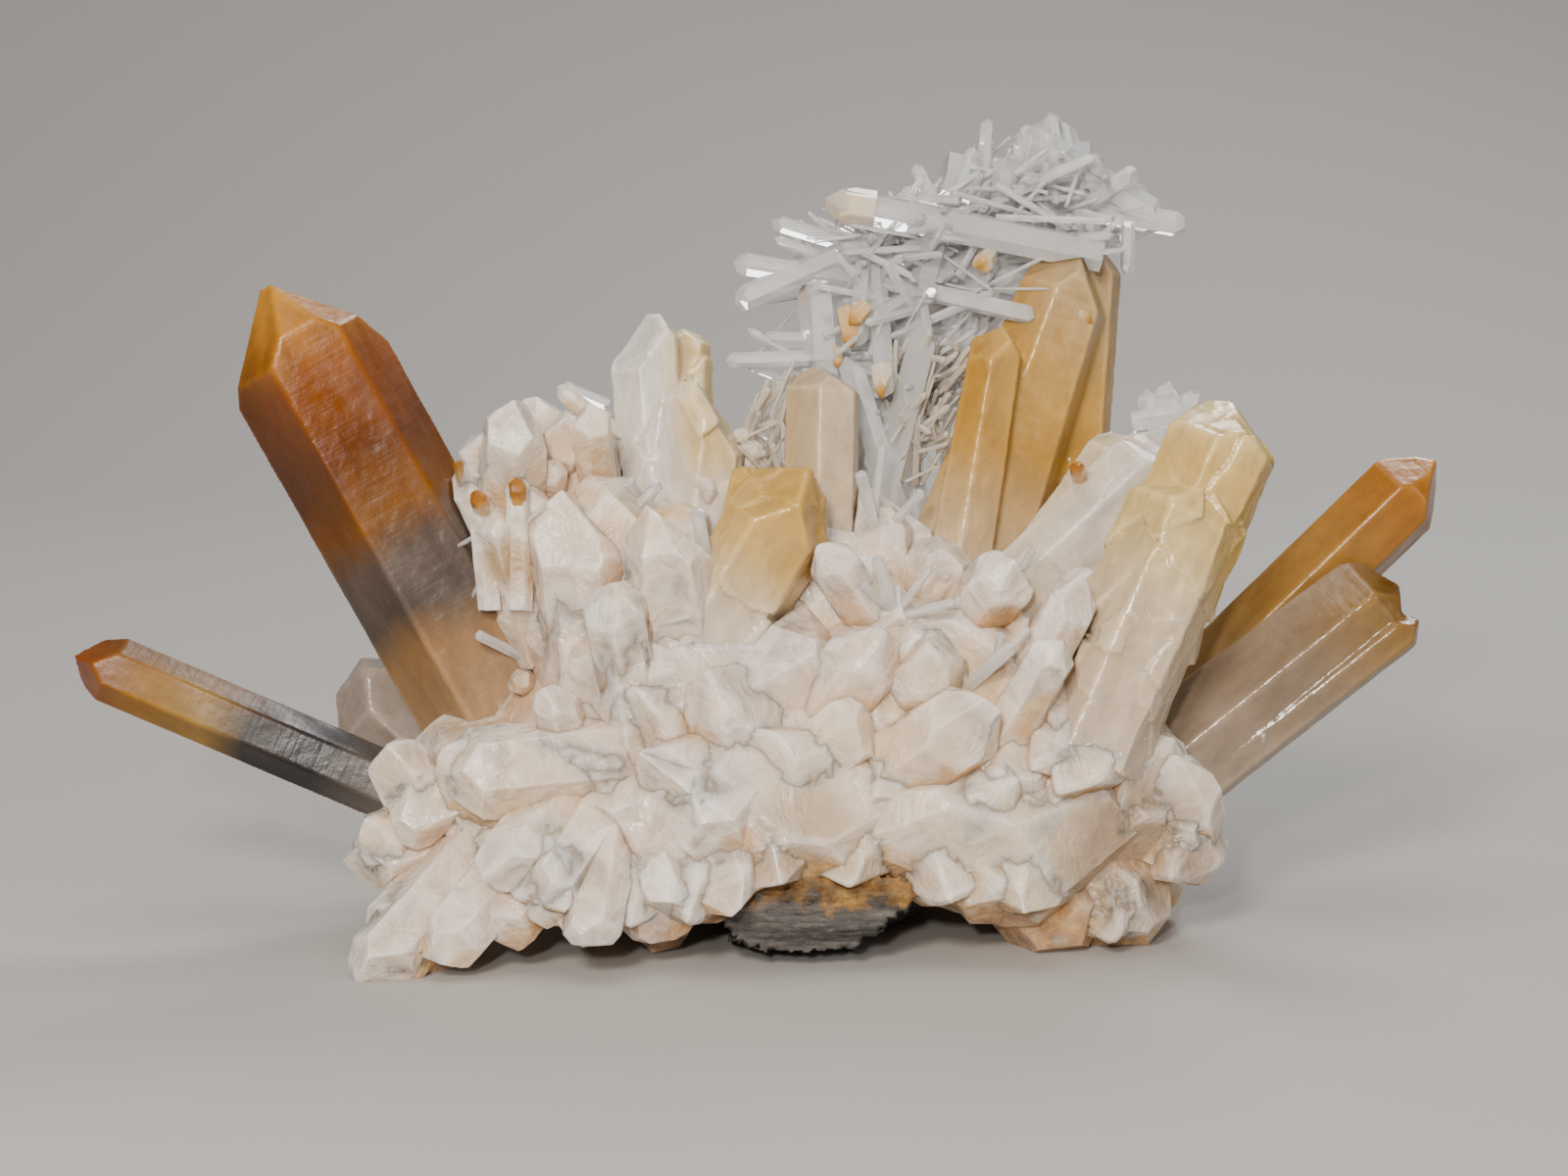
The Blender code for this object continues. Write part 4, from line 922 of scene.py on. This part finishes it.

# %% [markdown]
# ## Zoned crystals
# The thick points are clear quartz that took in yellow and orange clay as it grew, so the colour lies in
# bands across each crystal: milky at the root, often a clear zone painted dark grey as painted shade, then
# yellow or amber to the tip. A Mapping node lays each pattern along its own crystal: its inverse turn brings
# the root to zero and the tip to one. Noise bends the borders of the bands, a gradient across the crystal
# darkens one side as painted shade, and the sharp edges are lightened as a painted highlight.

# %% A finish that follows one crystal


def crystal_frame(root, tip):
    """Where a crystal starts, how it is turned and how long it is, in metres."""
    start, end = seen(*root) * MM, seen(*tip) * MM
    along = (end - start).normalized()
    back = (LOOK - along * LOOK.dot(along)).normalized()
    turn = Matrix((back.cross(along), back, along)).transposed()
    return start, turn.to_euler(), (end - start).length


def zoned_quartz(name, root, tip, width, bands, deep, glow, tint, wander=0.12, gloss=(0.16, 0.4),
                 shade_side=-1.0, shine=0.5):
    """Quartz in bands from root to tip, with painted shade along one side and a painted highlight on its
    edges.
    """
    start, turn, length = crystal_frame(root, tip)
    finish, tree = new_finish(name)
    place = add(tree, COORDINATES).outputs["Object"]
    crest = add(tree, STORED, attribute_name="crest").outputs["Fac"]
    local = add(tree, MAPPING, {"Vector": place}, {"Location": start, "Rotation": turn},
                vector_type="TEXTURE")
    axes = add(tree, SPLIT, {0: local})
    share = add(tree, MATH, {0: axes.outputs["Z"]}, {1: length}, operation="DIVIDE")
    stretch = add(tree, MAPPING, {"Vector": local}, {"Scale": (1.0, 1.0, 0.45)})
    clouds = add(tree, NOISE, {"Vector": stretch},
                 {"Scale": 130.0, "Detail": 5.0, "Roughness": 0.58, "Distortion": 0.4})
    zone = add(tree, MATH, {0: clouds, 2: share}, {1: wander}, operation="MULTIPLY_ADD")
    level = add(tree, MATH, {0: zone}, {1: 0.5 * wander}, operation="SUBTRACT")
    colour = add(tree, RAMP, {0: level}, stops=bands)
    # Painted shade: the deep colour darkens one side of the crystal in its upper bands.
    side = add(tree, REMAP, {0: axes.outputs["X"]},
               {1: 0.12 * width * MM * shade_side, 2: 0.52 * width * MM * shade_side, 4: 0.8})
    above = add(tree, REMAP, {0: level}, {1: 0.45, 2: 0.62})
    side_shade_amount = add(tree, MATH, {0: side, 1: above}, operation="MULTIPLY")
    side_shaded = add(tree, MIX, {0: side_shade_amount, 6: colour}, {7: linear(deep)}, data_type="RGBA")
    veils = add(tree, NOISE, {"Vector": stretch}, {"Scale": 420.0, "Detail": 4.0, "Roughness": 0.65})
    speck = add(tree, REMAP, {0: veils}, {1: 0.35, 2: 0.7, 3: 0.8, 4: 1.12})
    mottled = add(tree, VECTOR, {0: side_shaded.outputs[2], "Scale": speck}, operation="SCALE")
    # Painted highlight: the sharp edges are lightened by screening the colour over itself.
    worn = add(tree, REMAP, {0: crest}, {1: 0.03, 2: 0.14, 4: 0.25})
    highlit_edges = add(tree, MIX, {0: worn, 6: mottled, 7: colour}, data_type="RGBA", blend_type="SCREEN")
    polish = add(tree, REMAP, {0: clouds}, {1: 0.4, 2: 0.62, 3: gloss[0], 4: gloss[1]})
    lines = add(tree, MAPPING, {"Vector": local}, {"Scale": (60.0, 60.0, 1500.0)})
    ridges = add(tree, NOISE, {"Vector": lines}, {"Scale": 1.0, "Detail": 3.0, "Roughness": 0.6})
    etch = add(tree, NOISE, {"Vector": place}, {"Scale": 1400.0, "Detail": 3.0, "Roughness": 0.55})
    relief = add(tree, MATH, {0: ridges, 1: etch}, operation="ADD")
    bump = add(tree, BUMP, {"Height": relief}, {"Strength": 0.7, "Distance": 0.00006})
    shader = add(tree, PRINCIPLED, {"Base Color": highlit_edges.outputs[2], "Roughness": polish, "Normal": bump},
                 {"IOR": QUARTZ_IOR, "Specular IOR Level": shine, "Subsurface Weight": glow,
                  "Subsurface Scale": 0.002, "Subsurface Radius": tint})
    add(tree, OUTPUT, {"Surface": shader})
    return finish


def crystal_skin(node, finish, voxel=0.3, dent=0.22, step=0.06, tilt=0.0):
    """The worn, etched skin of one solid crystal, which it stands for."""
    made = keep(node + "_skin", merged(node))
    cover = made.modifiers.new("skin", "REMESH")
    cover.mode = "VOXEL"
    cover.voxel_size = voxel * MM
    run_tree(made, ETCH, dent_depth=dent * MM, dents_per_metre=140.0, step_depth=step * MM,
             steps_per_metre=700.0, facets_per_metre=130.0, facet_tilt=tilt)
    run_tree(made, MARKS, short_blur=14, long_blur=60)
    return settled(made, finish, node)


# %% The amber points
AMBER_TINT = (1.0, 0.55, 0.25)
YELLOW_TINT = (1.0, 0.72, 0.42)
MILKY_TINT = (1.0, 0.92, 0.84)
# Its dark grey-brown middle bands are painted shade: the clear zone is coloured with the darkness seen
# through it.
amber_left = zoned_quartz(
    "amber-capped quartz, left", (-25.5, 21.0, 1.0), (-55.0, 73.5, -6.0), 16.4,
    [(0.08, "A08260"), (0.28, "866440"), (0.36, "4C423A"), (0.46, "54463E"), (0.54, "704200"),
     (0.66, "5E2E00"), (0.82, "7C4000"), (0.97, "B07620")],
    "421E00", 0.1, AMBER_TINT, gloss=(0.22, 0.5), shine=0.28)
crystal_skin("amber_point_left", amber_left)
# Its near-black middle bands are painted shade: the clear zone is coloured with the darkness seen through it.
amber_low = zoned_quartz(
    "amber-capped quartz, low", (-30.0, 13.5, 0.0), (-76.0, 33.0, -3.0), 7.2,
    [(0.10, "7E7268"), (0.40, "1E1A1A"), (0.58, "2A2422"), (0.68, "86662C"), (0.84, "865A10"),
     (0.95, "743800")],
    "583404", 0.1, AMBER_TINT, gloss=(0.3, 0.55), shade_side=1.0, shine=0.28)
crystal_skin("amber_point_low", amber_low, 0.24, 0.1, 0.03)
amber_right = zoned_quartz(
    "amber-capped quartz, right", (41.5, 22.0, 9.0), (74.8, 54.2, 5.0), 9.6,
    [(0.2, "A0845A"), (0.45, "8C6834"), (0.7, "8E6428"), (0.88, "905A14"), (0.98, "A46824")],
    "6A400C", 0.15, AMBER_TINT, shade_side=1.0, shine=0.35)
crystal_skin("amber_point_right", amber_right, 0.28, 0.16, 0.05)

# %% The yellow prisms
golden = zoned_quartz(
    "yellow quartz, tall", (18.0, 29.0, 6.0), (35.2, 77.2, 6.0), 13.0,
    [(0.2, "CAB89E"), (0.38, "BCA074"), (0.55, "B48838"), (0.75, "BC9248"), (0.9, "B49664"), (1.0, "A88C64")],
    "A87824", 0.45, YELLOW_TINT)
crystal_skin("golden_prism", golden, dent=0.3, step=0.08)
yellow_top = zoned_quartz(
    "yellow quartz, worn top", (35.2, 21.5, -14.0), (53.0, 60.6, -12.0), 12.2,
    [(0.05, "C4B19A"), (0.42, "CAB594"), (0.60, "D0B67C"), (0.8, "CEAD64"), (0.95, "D2B87E")],
    "C09848", 0.5, YELLOW_TINT, shade_side=1.0)
crystal_skin("yellow_top_prism", yellow_top, dent=0.7, step=0.14, tilt=0.22)
squat = zoned_quartz(
    "yellow quartz, squat", (-9.0, 29.0, -12.0), (5.5, 53.6, -17.0), 11.4,
    [(0.1, "D2C6BA"), (0.4, "CFBEA4"), (0.62, "C6A562"), (0.85, "BE9548"), (1.0, "B98E46")],
    "AD8038", 0.5, YELLOW_TINT, shade_side=1.0)
crystal_skin("squat_yellow_prism", squat, 0.3, 0.3, tilt=0.12)
beige = zoned_quartz(
    "beige quartz", (6.2, 24.0, -3.0), (7.0, 65.0, -3.0), 8.0,
    [(0.3, "CFC3B4"), (0.6, "C8B190"), (0.85, "BDA88C"), (1.0, "B9A488")],
    "B29668", 0.5, YELLOW_TINT)
crystal_skin("beige_prism", beige, 0.28, 0.16)

# %% The milky and smoky prisms
pale = zoned_quartz(
    "milky quartz, broad prism", (10.5, 23.0, -9.0), (46.0, 56.0, -5.0), 10.0,
    [(0.2, "D3C9C0"), (0.5, "D2C4AE"), (0.72, "CFC6BC"), (1.0, "CBC6C2")],
    "CDB994", 0.65, MILKY_TINT)
crystal_skin("pale_prism", pale, dent=0.4, tilt=0.1)
tower = zoned_quartz(
    "milky quartz, tower", (-9.0, 28.0, 3.0), (-13.2, 70.6, 2.0), 9.0,
    [(0.3, "DCD4CC"), (0.6, "E0D8CE"), (0.8, "DAD2CA"), (1.0, "D2CCC6")],
    "D8B868", 0.6, MILKY_TINT, shade_side=1.0)
crystal_skin("white_tower", tower, dent=0.5, tilt=0.12)
smoky = zoned_quartz(
    "smoky quartz, right", (35.0, 12.5, 2.0), (70.0, 41.0, 0.0), 11.2,
    [(0.1, "A29282"), (0.4, "8C7A68"), (0.7, "806C56"), (0.9, "846434"), (1.0, "64400E")],
    "85725C", 0.35, YELLOW_TINT, gloss=(0.1, 0.32))
crystal_skin("smoky_prism_right", smoky, 0.3, 0.2, 0.06)
smoky_left = zoned_quartz(
    "smoky quartz, left", (-27.0, 14.0, 8.0), (-45.5, 31.5, 7.0), 12.5,
    [(0.2, "A99C90"), (0.6, "988B80"), (1.0, "8F8276")],
    "87796B", 0.35, YELLOW_TINT, gloss=(0.1, 0.32))
crystal_skin("smoky_crystal_left", smoky_left, 0.32, 0.3, 0.1)

# %% [markdown]
# ## Clear needles
# The spray on top is rock crystal: slender six-sided prisms, some as thin as a pin. The solid holds the
# stout ones. The fine ones are a job for Geometry Nodes: a cloud of points carries each needle's direction,
# length and width, and the tree stands a six-sided needle with a pointed end on every point.

# %% The tree that stands needles on points
SIXTH_TURN = 1.05
NEEDLES, start, end = new_geometry_tree("needles", [
    ("Point share", "Float", 0.06), ("Seed", "Int", 5), ("Finish", "Material", None),
])
shaft_length = add(NEEDLES, MATH, {1: start.outputs["Point share"]}, {0: 1.0}, operation="SUBTRACT")
half = add(NEEDLES, MATH, {0: shaft_length}, {1: 0.5}, operation="MULTIPLY")
shaft = add(NEEDLES, "GeometryNodeMeshCylinder", {"Depth": shaft_length}, {"Vertices": 6, "Radius": 0.5})
lift = add(NEEDLES, "ShaderNodeCombineXYZ", {"Z": half})
raised = add(NEEDLES, "GeometryNodeTransform", {"Geometry": shaft, "Translation": lift})
cap = add(NEEDLES, "GeometryNodeMeshCone", {"Depth": start.outputs["Point share"]},
          {"Vertices": 6, "Radius Top": 0.0, "Radius Bottom": 0.5})
top = add(NEEDLES, "ShaderNodeCombineXYZ", {"Z": shaft_length})
capped = add(NEEDLES, "GeometryNodeTransform", {"Geometry": cap, "Translation": top})
both = add(NEEDLES, "GeometryNodeJoinGeometry")
NEEDLES.links.new(raised.outputs[0], both.inputs[0])
NEEDLES.links.new(capped.outputs[0], both.inputs[0])
way = add(NEEDLES, "GeometryNodeInputNamedAttribute", values={"Name": "way"}, data_type="FLOAT_VECTOR")
size = add(NEEDLES, "GeometryNodeInputNamedAttribute", values={"Name": "size"}, data_type="FLOAT_VECTOR")
spin = add(NEEDLES, RANDOM, {"Seed": start.outputs["Seed"]}, data_type="FLOAT")
spin.inputs[3].default_value = SIXTH_TURN
aim = add(NEEDLES, "FunctionNodeAlignRotationToVector", {"Vector": way}, axis="Z")
about = add(NEEDLES, "FunctionNodeAxisAngleToRotation", {"Angle": spin.outputs[1]}, {"Axis": (0.0, 0.0, 1.0)})
turned = add(NEEDLES, "FunctionNodeRotateRotation", {0: aim, 1: about}, rotation_space="LOCAL")
copies = add(NEEDLES, "GeometryNodeInstanceOnPoints",
             {"Points": start.outputs["Geometry"], "Instance": both, "Rotation": turned, "Scale": size})
real = add(NEEDLES, "GeometryNodeRealizeInstances", {"Geometry": copies})
dressed = add(NEEDLES, "GeometryNodeSetMaterial", {"Geometry": real, "Material": start.outputs["Finish"]})
NEEDLES.links.new(dressed.outputs[0], end.inputs[0])
print("tree:", NEEDLES.name, "with", len(NEEDLES.nodes), "nodes")

# %% From a list to needles


def needle_cloud(name, needles, finish):
    """Needles from (start, end, width) in millimetres, grown by the tree into one mesh."""
    mesh = bpy.data.meshes.new(name)
    mesh.from_pydata([start * MM for start, end, width in needles], [], [])
    way = mesh.attributes.new("way", "FLOAT_VECTOR", "POINT")
    size = mesh.attributes.new("size", "FLOAT_VECTOR", "POINT")
    for index, (start, end, width) in enumerate(needles):
        way.data[index].vector = (end - start).normalized()
        size.data[index].vector = (width * MM, width * MM, (end - start).length * MM)
    made = keep(name, mesh)
    run_tree(made, NEEDLES, finish=finish)
    settled(made, finish, smooth=False)
    body = bmesh.new()
    body.from_mesh(made.data)
    bmesh.ops.remove_doubles(body, verts=body.verts, dist=0.00001)
    inner = [face for face in body.faces if all(len(edge.link_faces) > 2 for edge in face.edges)]
    bmesh.ops.delete(body, geom=inner, context="FACES_ONLY")
    body.to_mesh(made.data)
    body.free()
    return made


def rock_crystal(name, tone, roughness, clear):
    """Clear quartz: light goes through and bends by its real index, and fine veils send some back."""
    finish, tree = new_finish(name)
    place = add(tree, COORDINATES).outputs["Object"]
    flaws = add(tree, NOISE, {"Vector": place}, {"Scale": 500.0, "Detail": 3.0, "Roughness": 0.6})
    dull = add(tree, REMAP, {0: flaws}, {1: 0.45, 2: 0.7, 3: roughness, 4: roughness + 0.08})
    lines = add(tree, BUMP, {"Height": flaws}, {"Strength": 0.4, "Distance": 0.00006})
    shader = add(tree, PRINCIPLED, {"Roughness": dull, "Normal": lines},
                 {"Base Color": linear(tone), "IOR": QUARTZ_IOR, "Transmission Weight": clear})
    add(tree, OUTPUT, {"Surface": shader})
    return finish


clear = rock_crystal("rock crystal", "FFFFFF", 0.0, 0.68)
warm_clear = rock_crystal("rock crystal, clay-tinted", "F8EEDF", 0.01, 0.55)
print("finish:", clear.name)

# %% [markdown]
# ## Where the needles stand
# Needles start near the stout prisms and point every way, and mostly up and sideways. A needle is kept only
# when its tip stays inside the outline that the spray has from the front, so the silhouette stays true.

# %% Grow the spray
SPRAY_OUTLINE = [
    (-3.8, 65.0), (-3.0, 72.8), (-2.0, 76.9), (1.3, 80.9), (6.9, 83.8), (16.5, 86.3), (24.0, 89.2),
    (32.2, 92.5), (36.0, 89.6), (40.3, 84.7), (46.5, 80.1), (41.4, 75.5), (38.1, 76.9), (26.2, 67.9),
    (17.5, 53.3), (11.6, 51.1), (10.2, 61.9), (3.5, 61.9), (-0.9, 57.1), (1.3, 62.5),
]
SPRAY_NEEDLES = 420
SPRAY_DEPTH = 27.0
SPRAY_HEARTS = [
    ((30.0, 83.0, 13.0), 9.0, 0.42), ((15.0, 76.0, 9.0), 8.0, 0.33), ((15.0, 63.0, 7.0), 6.5, 0.25),
]


def spray_needles():
    """Needles from the three hearts of the spray, inside its outline."""
    chance = random.Random(21)
    found = []
    while len(found) < SPRAY_NEEDLES:
        pick = chance.random()
        for (across, up, away), spread, share in SPRAY_HEARTS:
            pick -= share
            if pick < 0:
                break
        root = (across + chance.gauss(0, spread * 0.6), up + chance.gauss(0, spread * 0.45),
                away + chance.gauss(0, spread * 0.45))
        length = chance.choice([5.0, 7.0, 9.0, 12.0, 16.0]) * chance.uniform(0.8, 1.2)
        heading = chance.uniform(0.0, 2.0 * math.pi)
        climb = chance.gauss(0.15, 0.5)
        reach = (length * math.cos(heading) * math.cos(climb), length * math.sin(climb),
                 length * math.sin(heading) * math.cos(climb))
        tip = tuple(a + b for a, b in zip(root, reach))
        in_outline = all(outline_depth(end[0], end[1], SPRAY_OUTLINE) > 0.0 for end in (root, tip))
        if in_outline and 0.0 < tip[2] < SPRAY_DEPTH:
            found.append((seen(*root), seen(*tip), chance.choice([0.35, 0.45, 0.6, 0.8, 1.1])))
    return found


needle_cloud("spray_needles", spray_needles(), clear)
THICKET = [
    ([(14.5, 69.0), (25.0, 69.0), (22.0, 58.0), (16.5, 48.0), (12.5, 48.0), (12.0, 62.0)], 80, 2.0, 7.0),
    ([(-2.0, 60.0), (4.0, 68.0), (3.0, 58.0), (5.0, 50.0), (-1.0, 52.0), (-6.0, 54.0)], 36, -1.0, 5.0),
]


def thicket_needles():
    """Fine needles that fill the gaps beside the beige prism."""
    chance = random.Random(33)
    found = []
    for outline, number, near, far in THICKET:
        count = 0
        while count < number:
            across, up = chance.uniform(-8.0, 26.0), chance.uniform(45.0, 70.0)
            heading, length = chance.gauss(1.35, 0.75), chance.uniform(2.5, 8.0)
            tip = (across + length * math.cos(heading), up + length * math.sin(heading))
            if outline_depth(across, up, outline) > 0.0 and outline_depth(*tip, outline) > 0.0:
                away = chance.uniform(near, far)
                found.append((seen(across, up, away + 1.5), seen(*tip, away - chance.uniform(0.0, 3.0)),
                              chance.choice([0.35, 0.5, 0.8])))
                count += 1
    return found


needle_cloud("thicket_needles", thicket_needles(), warm_clear)
needle_cloud("front_needles", [(*rooted(row), row[6]) for row in FRONT_NEEDLES], clear)
for node in ("needle_spray", "clear_crystals_right"):
    settled(keep(node + "_skin", merged(node)), clear, node, smooth=False)

# %% [markdown]
# ## Studio
# A pale floor that curves up into a backdrop has no horizon, and it falls off to grey with distance, so
# that white crystals stand out against it. The sweep is one profile drawn in bmesh and pulled sideways.
# A soft lamp on the left gives the form, a weaker one on the right opens the shade, a small one by the
# eye makes the faces flash, a broad one above draws the edges, and one behind lights the needles through.

# %% The sweep
FLOOR_FRONT = -0.9
WALL_BACK = 0.85
WALL_TOP = 1.3
CURVE_RADIUS = 0.45
SWEEP_HALF = 2.2


def sweep_mesh():
    """A floor, a quarter round and a wall, as one strip."""
    line = [(FLOOR_FRONT, 0.0), (WALL_BACK - CURVE_RADIUS, 0.0)]
    for step in range(1, 25):
        turn = math.radians(90.0 * step / 24)
        line.append((WALL_BACK - CURVE_RADIUS + CURVE_RADIUS * math.sin(turn),
                     CURVE_RADIUS * (1.0 - math.cos(turn))))
    line.append((WALL_BACK, WALL_TOP))
    body = bmesh.new()
    left = [body.verts.new((-SWEEP_HALF, y, z)) for y, z in line]
    right = [body.verts.new((SWEEP_HALF, y, z)) for y, z in line]
    for index in range(len(line) - 1):
        body.faces.new((left[index], right[index], right[index + 1], left[index + 1]))
    made = bpy.data.meshes.new("sweep")
    body.to_mesh(made)
    body.free()
    made.shade_smooth()
    return made


paper, tree = new_finish("pale paper")
fibre = add(tree, NOISE, {"Vector": add(tree, COORDINATES).outputs["Object"]},
            {"Scale": 900.0, "Detail": 4.0})
tooth = add(tree, BUMP, {"Height": fibre}, {"Strength": 0.15, "Distance": 0.0002})
shader = add(tree, PRINCIPLED, {"Normal": tooth}, {"Base Color": linear("B0ADA9"), "Roughness": 0.9})
add(tree, OUTPUT, {"Surface": shader})
sweep = keep("sweep", sweep_mesh(), paper)
sweep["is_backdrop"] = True
print("sweep faces:", len(sweep.data.polygons))

# %% Lamps


def lamp(name, place, size, power, colour="FFFFFF"):
    """A round soft lamp that faces the middle of the cluster."""
    light = bpy.data.lights.new(name, "AREA")
    light.shape = "DISK"
    light.size = size
    light.energy = power
    light.color = linear(colour)[:3]
    made = bpy.data.objects.new(name, light)
    bpy.context.scene.collection.objects.link(made)
    made.location = place
    made.rotation_euler = (Vector((0.0, 0.0, 0.045)) - Vector(place)).to_track_quat("-Z", "Y").to_euler()
    return made


lamp("key", (-0.14, -0.62, 0.36), 0.14, 4.1, "FFF6EA")
lamp("fill", (0.60, -0.45, 0.25), 0.45, 0.9, "F3F6FF")
lamp("eye lamp", (-0.06, -0.60, 0.20), 0.035, 2.0, "FFF8F0")
lamp("back", (0.20, 0.45, 0.50), 0.25, 2.5, "FFFFFF")
lamp("top", (-0.10, -0.10, 0.75), 0.5, 1.8, "FFFFFF")

world = bpy.data.worlds.new("room")
world.use_nodes = True
world.node_tree.nodes["Background"].inputs[0].default_value = linear("CAC8C6")
world.node_tree.nodes["Background"].inputs[1].default_value = 0.36
bpy.context.scene.world = world
print("lamps:", [item.name for item in bpy.data.lights])

# %% Camera
camera_data = bpy.data.cameras.new("front view")
camera_data.lens = 85.0
camera_data.sensor_width = 36.0
camera_data.clip_start = 0.01
camera = bpy.data.objects.new("front view", camera_data)
bpy.context.scene.collection.objects.link(camera)
camera.location = (VIEW_POINT - LOOK * EYE_DISTANCE) * MM
camera.rotation_euler = LOOK.to_track_quat("-Z", "Y").to_euler()
bpy.context.scene.camera = camera
print("camera at", [round(value, 3) for value in camera.location])

# %% Finish
size = {"cad": [list(corner) for corner in cad_box], "visual": [list(corner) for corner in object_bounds()]}
